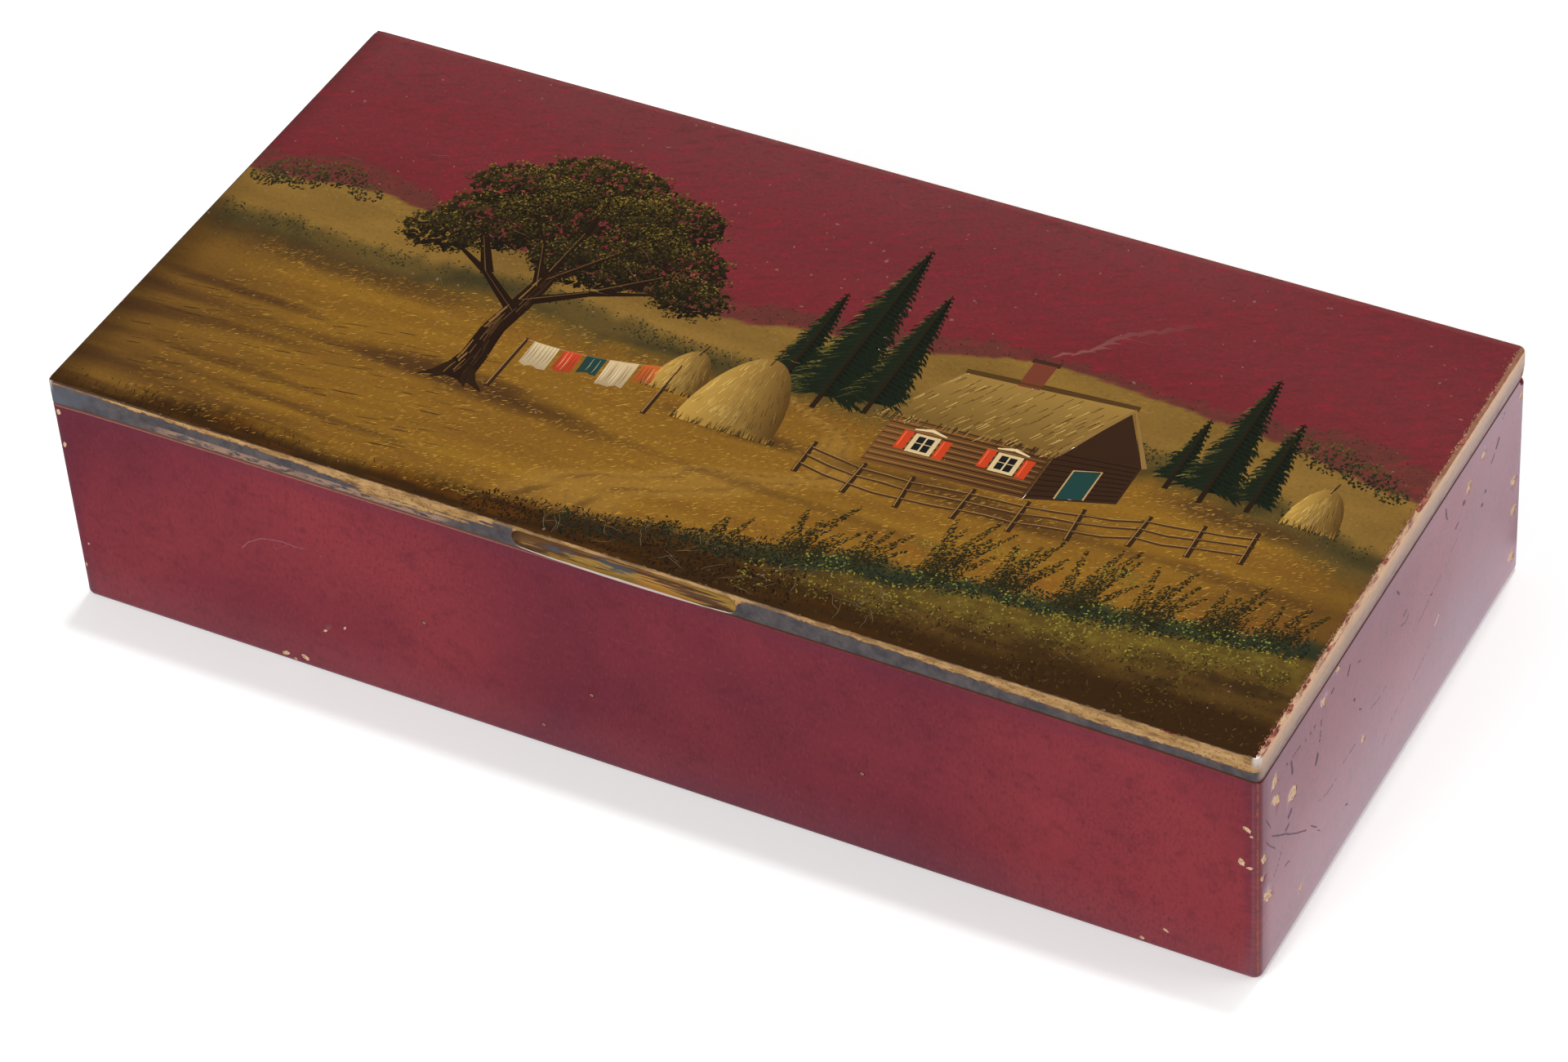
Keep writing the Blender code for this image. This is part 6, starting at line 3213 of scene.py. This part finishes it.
    def _undergrowth(self) -> None:
        """Paint the bank of bushes, grass and tall weeds in front."""
        scene = self.scene
        rng = random.Random(67)
        shade = self._region(
            lambda u: scene.bank(u) - 3.0, lambda u: scene.bank(u) + 2.0, 90, 207, 0.004, lambda u,
            v: 0.25 + 0.1 * (v - scene.bank(u) + 1) / 3
        )
        dark = self._region(
            lambda u: 1.2, lambda u: scene.bank(u) + 3.0 + 2 * fine_noise(u * 0.3, 5.0), 74, 132,
            0.004, lambda u, v: 0.12 + 0.02 * v
        )
        lights = self._region(
            lambda u: scene.bank(u) - 10.0, lambda u: scene.bank(u) - 2.0, 122, 207, 0.012,
            lambda u, v: 0.25 + 0.4 * smooth(v, scene.bank(u) - 10, scene.bank(u) - 5)
        )
        browns = self._region(
            lambda u: 1.6, lambda u: scene.bank(u) - 6.0, 112, 207, 0.004, lambda u,
            v: 0.2 + 0.03 * v
        )
        front = self._region(
            lambda u: 1.0, lambda u: 5.0, 3, 80, 0.004, lambda u, v: 0.1 + 0.08 * v
        )
        russet = self._region(
            lambda u: scene.bank(u) + 0.5, lambda u: scene.bank(u) + 7.0, 110, 207, -0.002,
            lambda u, v: 0.6 - 0.06 * (v - scene.bank(u))
        )
        stems = Region(self._on_lid)
        for start, count, tall in (
            (117, 3, 8), (128, 5, 15), (138, 4, 11), (149, 6, 19), (160, 5, 15), (171, 6, 18),
            (182, 5, 16), (192, 5, 14), (201, 3, 11)
        ):
            for k in range(count):
                fan = (k - (count - 1) / 2) / max(count - 1, 1)
                foot = (
                    start + 3.4 * fan + rng.uniform(-0.5, 0.5),
                    scene.bank(start) + rng.uniform(-1.4, 0.2)
                )
                height = tall * rng.uniform(0.6, 1.0) * (1 - 0.5 * abs(fan))
                lean = 0.55 * fan + 0.3 + rng.uniform(-0.1, 0.1)
                curve = [
                    (foot[0] + lean * height * t**1.3, foot[1] + height * t)
                    for t in (0, 0.2, 0.4, 0.6, 0.8, 1)
                ]
                curve = [(min(u, 207.6), v) for u, v in curve]
                stems.ribbon(curve, rng.uniform(2.2, 3.4), 0.01, 0.24)
        sprays = Region(self._on_lid)
        for u, v, size in (
            (134, 13, 2.4), (152, 15.5, 3.2), (164, 17.5, 2.6), (178, 19.5, 3.6), (190, 21.5, 2.6),
            (198, 22.0, 3.2), (146, 22, 2.0), (158, 26, 2.2), (175, 28, 2.4)
        ):
            sprays.disc(u, v, size * 1.8, size * 0.8, 0.026, 0.1)
        layers = [
            (
                browns,
                Dabs(
                    2.4, (0.4, 1.1), 0.26, (20, 160), (48, 34, 22), (70, 52, 28), (106, 86, 38),
                    0.42, 0.8, 110.0, 0.016, 43
                )
            ),
            (
                dark,
                Dabs(
                    3.0, (0.4, 1.0), 0.3, (30, 150), (38, 28, 20), (54, 40, 24), (92, 72, 32), 0.34,
                    0.4, 60.0, 0.018, 44
                )
            ),
            (
                shade,
                Dabs(
                    5.0, (0.35, 0.8), 0.34, (10, 170), (32, 38, 30), (44, 50, 36), (74, 76, 40),
                    0.32, 0.3, 90.0, 0.02, 47
                )
            ),
            (
                lights,
                Dabs(
                    3.8, (0.3, 0.8), 0.28, (5, 175), (58, 48, 28), (96, 84, 36), (142, 130, 54),
                    0.45, 0.8, 110.0, 0.018, 53
                )
            ),
            (
                sprays,
                Dabs(
                    1.8, (0.3, 0.5), 0.36, (0, 180), (74, 84, 42), (104, 110, 46), (138, 142, 64),
                    0.4, 0.5, 160.0, 0.024, 54
                )
            ),
            (
                front,
                Dabs(
                    1.2, (0.5, 1.4), 0.15, (60, 125), (40, 28, 18), (58, 42, 24), (96, 70, 32), 0.3,
                    0.8, 50.0, 0.016, 59
                )
            ),
        ]
        self._strew("picture_bank", layers)
        layers = [
            (
                russet,
                Dabs(
                    2.2, (0.4, 1.0), 0.24, (10, 120), (110, 74, 34), (136, 86, 36), (158, 106, 44),
                    0.4, 0.85, 60.0, 0.014, 60
                )
            ),
            (
                stems,
                Dabs(
                    10.5, (0.3, 0.7), 0.26, (15, 85), (38, 36, 26), (56, 50, 30), (120, 116, 50),
                    0.3, 0.25, 260.0, 0.024, 61
                )
            ),
        ]
        self._strew("picture_weeds", layers)

    def _age_marks(self) -> None:
        """Lay the hairline scratches, crackle, dust specks and edge wear of old varnish."""
        book = StrokeBook("picture_age_marks", self._on_lid)
        rng = random.Random(71)
        for _ in range(30):
            u, v = rng.uniform(8, 202), rng.uniform(6, 98)
            angle, far = rng.uniform(-0.9, 0.9), rng.uniform(1.2, 5.0)
            bend = rng.uniform(-0.3, 0.3)
            points = [
                (u + far * t * math.cos(angle + bend * t), v + far * t * math.sin(angle + bend * t))
                for t in (0, 0.5, 1)
            ]
            book.stroke(
                points, [0.04, 0.07, 0.03], blended(0.35, self.scene.tone(u, v), (205, 170, 150)),
                0.03, 0.012
            )
        for _ in range(46):
            u, v = rng.uniform(86, 150), rng.uniform(1.4, 9)
            angle = rng.choice((0.3, 1.4, 2.2)) + rng.uniform(-0.4, 0.4)
            points = [(u, v)]
            for _ in range(5):
                angle += rng.uniform(-0.55, 0.55)
                u, v = u + 0.8 * math.cos(angle), v + 0.8 * math.sin(angle)
                points.append((u, max(v, 1.0)))
            book.stroke(points, [0.04, 0.07, 0.08, 0.07, 0.06, 0.03], (116, 96, 72), 0.03, 0.012)
        for _ in range(64):
            u, v = rng.uniform(3, 206), rng.uniform(3, 99)
            size = rng.uniform(0.12, 0.34)
            tone = blended(rng.uniform(0.3, 0.7), self.scene.tone(u, v), (206, 164, 140))
            book.shape(
                [
                    (u + size / 2 * math.cos(a), v + size / 2 * math.sin(a))
                    for a in (0, 1.05, 2.1, 3.14, 4.19, 5.24)
                ],
                tone, 0.05
            )
        self._add("picture_age_marks", book.mesh())
        right = self._region(
            lambda u: 1.2, lambda u: 100.8, 208.75, 209.35, 0.004, lambda u,
            v: 0.45 + 0.9 * (u - 209.0)
        )
        inner = self._region(lambda u: 1.6, lambda u: 100.0, 208.2, 208.9, 0.002, lambda u, v: 0.3)
        front = self._region(lambda u: 0.45, lambda u: 0.62, 1.5, 208.5, 0.002, lambda u, v: 0.4)
        layers = [
            (
                right,
                Dabs(
                    9.0, (0.2, 0.7), 0.16, (50, 130), (106, 58, 42), (146, 96, 70), (196, 158, 130),
                    0.5, 0.35, 260.0, 0.02, 73
                )
            ),
            (
                inner,
                Dabs(
                    3.2, (0.2, 0.6), 0.14, (40, 140), (94, 44, 36), (120, 68, 46), (160, 108, 82),
                    0.4, 0.7, 200.0, 0.018, 79
                )
            ),
            (
                front,
                Dabs(
                    5.0, (0.4, 1.2), 0.14, (-8, 8), (54, 36, 22), (84, 60, 38), (140, 110, 78), 0.5,
                    0.6, 120.0, 0.016, 83
                )
            ),
        ]
        self._strew("picture_edge_wear", layers)


# The studio


@dataclass
class Studio:
    """White floor, soft lamps and the camera."""

    lens: float = 122.7464
    eye: Point = (0.330470, -0.555462, 0.582271)
    right: Point = (0.882220, 0.467179, -0.058538)
    down: Point = (0.271810, -0.606865, -0.746877)
    forward: Point = (-0.384452, 0.643005, -0.662379)
    floor_half: float = 4.0
    glow: float = 0.3

    def build(self) -> None:
        """Set up the floor, the lamps, the world and the camera."""
        self._floor()
        self._world()
        self._lamps()
        self._camera()
        bpy.context.scene.view_settings.view_transform = "Standard"
        log.info("studio: floor, lamps and camera")

    def _floor(self) -> None:
        """Lay a pale floor that looks white and keeps the box's shadow."""
        bm = bmesh.new()
        bmesh.ops.create_grid(bm, x_segments=2, y_segments=2, size=self.floor_half)
        floor = bpy.data.objects.new("studio_floor", mesh_of("studio_floor", bm))
        bpy.context.scene.collection.objects.link(floor)
        floor.data.materials.append(self._floor_material())

    def _floor_material(self) -> bpy.types.Material:
        """Return the floor's material.

        What the camera sees is a glow and the lamps' light, which together
        reach white in the open. The box's gloss sees a floor that is brighter
        close to the box and towards the window, behind on the right.

        Returns:
            The material.
        """
        desk = PaintDesk("studio_floor")
        path = desk.node("ShaderNodeLightPath")
        x, y, z = desk.split(desk.place)
        bounce = desk.wire("ShaderNodeBsdfDiffuse", {"Color": (0.62, 0.62, 0.62)})
        lit = desk.wire("ShaderNodeBsdfDiffuse", {"Color": (0.85, 0.85, 0.85)})
        glow = desk.wire("ShaderNodeEmission", {"Color": (1.0, 1.0, 1.0), "Strength": self.glow})
        shown = desk.wire("ShaderNodeAddShader", {0: lit, 1: glow})
        past_side = desk.math("ABSOLUTE", x) - HALF_X
        past_front = desk.math("ABSOLUTE", y) - HALF_Y
        near = desk.rise(desk.most(past_side, past_front), 11 * MM, 1 * MM)
        right = desk.rise(x, HALF_X - 6 * MM, HALF_X + 1 * MM)
        close = desk.rise(x, HALF_X + 22 * MM, HALF_X + 2 * MM)
        behind = desk.times(
            desk.rise(y, 25 * MM, 92 * MM), 1.0 - close, desk.rise(y, 240 * MM, 120 * MM)
        )
        fringe = desk.rise(y, HALF_Y + 2 * MM, HALF_Y + 7 * MM)
        fringe = fringe * desk.rise(x, HALF_X + 6 * MM, HALF_X + 1 * MM)
        front_corner = desk.rise(y, -20 * MM, -50 * MM) * close
        window = desk.add(0.47, close * 0.27, behind * 0.4, front_corner * -0.1)
        window = desk.times(right, window, 1.0 - fringe * 0.6)
        strength = 0.13 + near * 0.2 + window
        mirrored = desk.wire(
            "ShaderNodeEmission", {"Color": (0.97, 0.95, 1.06), "Strength": strength}
        )
        first = desk.wire(
            "ShaderNodeMixShader", {0: path.outputs["Is Camera Ray"], 1: bounce, 2: shown}
        )
        gloss = desk.most(path.outputs["Is Glossy Ray"], path.outputs["Is Transmission Ray"])
        final = desk.wire("ShaderNodeMixShader", {0: gloss, 1: first, 2: mirrored})
        desk.tree.nodes.remove(desk.shader)
        desk.feed(desk.tree.nodes["Material Output"].inputs["Surface"], final)
        return desk.material

    def _world(self) -> None:
        """Fill the room with dim light behind a white view, dark overhead and paler all round."""
        world = bpy.data.worlds.new("studio_room")
        world.use_nodes = True
        desk = Desk(world.node_tree)
        path = desk.node("ShaderNodeLightPath")
        way = desk.node("ShaderNodeTexCoord").outputs["Generated"]
        x, y, z = desk.split(way)
        shown = desk.most(path.outputs["Is Camera Ray"], path.outputs["Is Transmission Ray"])
        walls = 0.05 + desk.rise(z, 0.6, 0.0) * 0.4
        gloss = Value(desk, path.outputs["Is Glossy Ray"])
        strength = gloss * walls + (1.0 - gloss) * 0.3
        strength = desk.most(strength, shown * 1.02)
        desk.feed(world.node_tree.nodes["Background"].inputs["Strength"], strength)
        world.node_tree.nodes["Background"].inputs["Color"].default_value = (1.0, 1.0, 1.0, 1.0)
        bpy.context.scene.world = world

    def _lamp(self, name: str, kind: str, energy: float, **settings: object) -> bpy.types.Object:
        """Add a lamp that the camera can't see, and that no gloss mirrors if it is a softbox.

        Args:
            name: The lamp's name.
            kind: SUN for a high lamp or AREA for a softbox.
            energy: Its strength.
            settings: Its other settings.

        Returns:
            The lamp.
        """
        data = bpy.data.lights.new(name, kind)
        data.energy = energy
        for key, value in settings.items():
            setattr(data, key, value)
        lamp = bpy.data.objects.new(name, data)
        bpy.context.scene.collection.objects.link(lamp)
        lamp.visible_camera = False
        lamp.visible_glossy = kind == "SUN"
        return lamp

    def _aim(self, lamp: bpy.types.Object, place: Point, target: Point = (0.0, 0.0, 0.02)) -> None:
        """Put a lamp at a place and turn it to a target."""
        lamp.location = place
        lamp.rotation_euler = (Vector(target) - Vector(place)).to_track_quat("-Z", "Y").to_euler()

    def _lamps(self) -> None:
        """Hang a high lamp behind the box, a large soft one in front and a fill on the right."""
        top = self._lamp("high_lamp", "SUN", 1.1, angle=math.radians(4.6))
        self._aim(top, (-0.004, 0.19, 1.0), (0.0, 0.0, 0.0))
        second = self._lamp("second_high_lamp", "SUN", 0.24, angle=math.radians(7.0))
        self._aim(second, (0.075, 0.18, 1.0), (0.0, 0.0, 0.0))
        front = self._lamp("front_softbox", "AREA", 18.0, shape="RECTANGLE", size=1.1, size_y=0.7)
        self._aim(front, (-0.55, -1.3, 0.68))
        fill = self._lamp("side_softbox", "AREA", 10.0, shape="RECTANGLE", size=0.9, size_y=0.4)
        self._aim(fill, (1.2, 0.62, 0.34))

    def _camera(self) -> None:
        """Place the camera at the photograph's viewing angle."""
        data = bpy.data.cameras.new("camera")
        data.sensor_width = 36.0
        data.lens = self.lens
        data.clip_start = 0.01
        camera = bpy.data.objects.new("camera", data)
        bpy.context.scene.collection.objects.link(camera)
        axes = (self.right, tuple(-c for c in self.down), tuple(-c for c in self.forward))
        turn = Matrix(axes).transposed().to_4x4()
        camera.matrix_world = Matrix.Translation(self.eye) @ turn
        bpy.context.scene.camera = camera


def main() -> None:
    """Build the finished box in order, then its studio."""
    logging.basicConfig(level=logging.INFO, format="%(message)s")
    finishes = Finishes()
    PaperCase(finishes).build()
    lid = PaintedLid(finishes)
    lid.build()
    KnuckleHinge(finishes).build()
    LidPicture(finishes, lid.face_z).build()
    Studio().build()


if __name__ == "__main__":
    main()
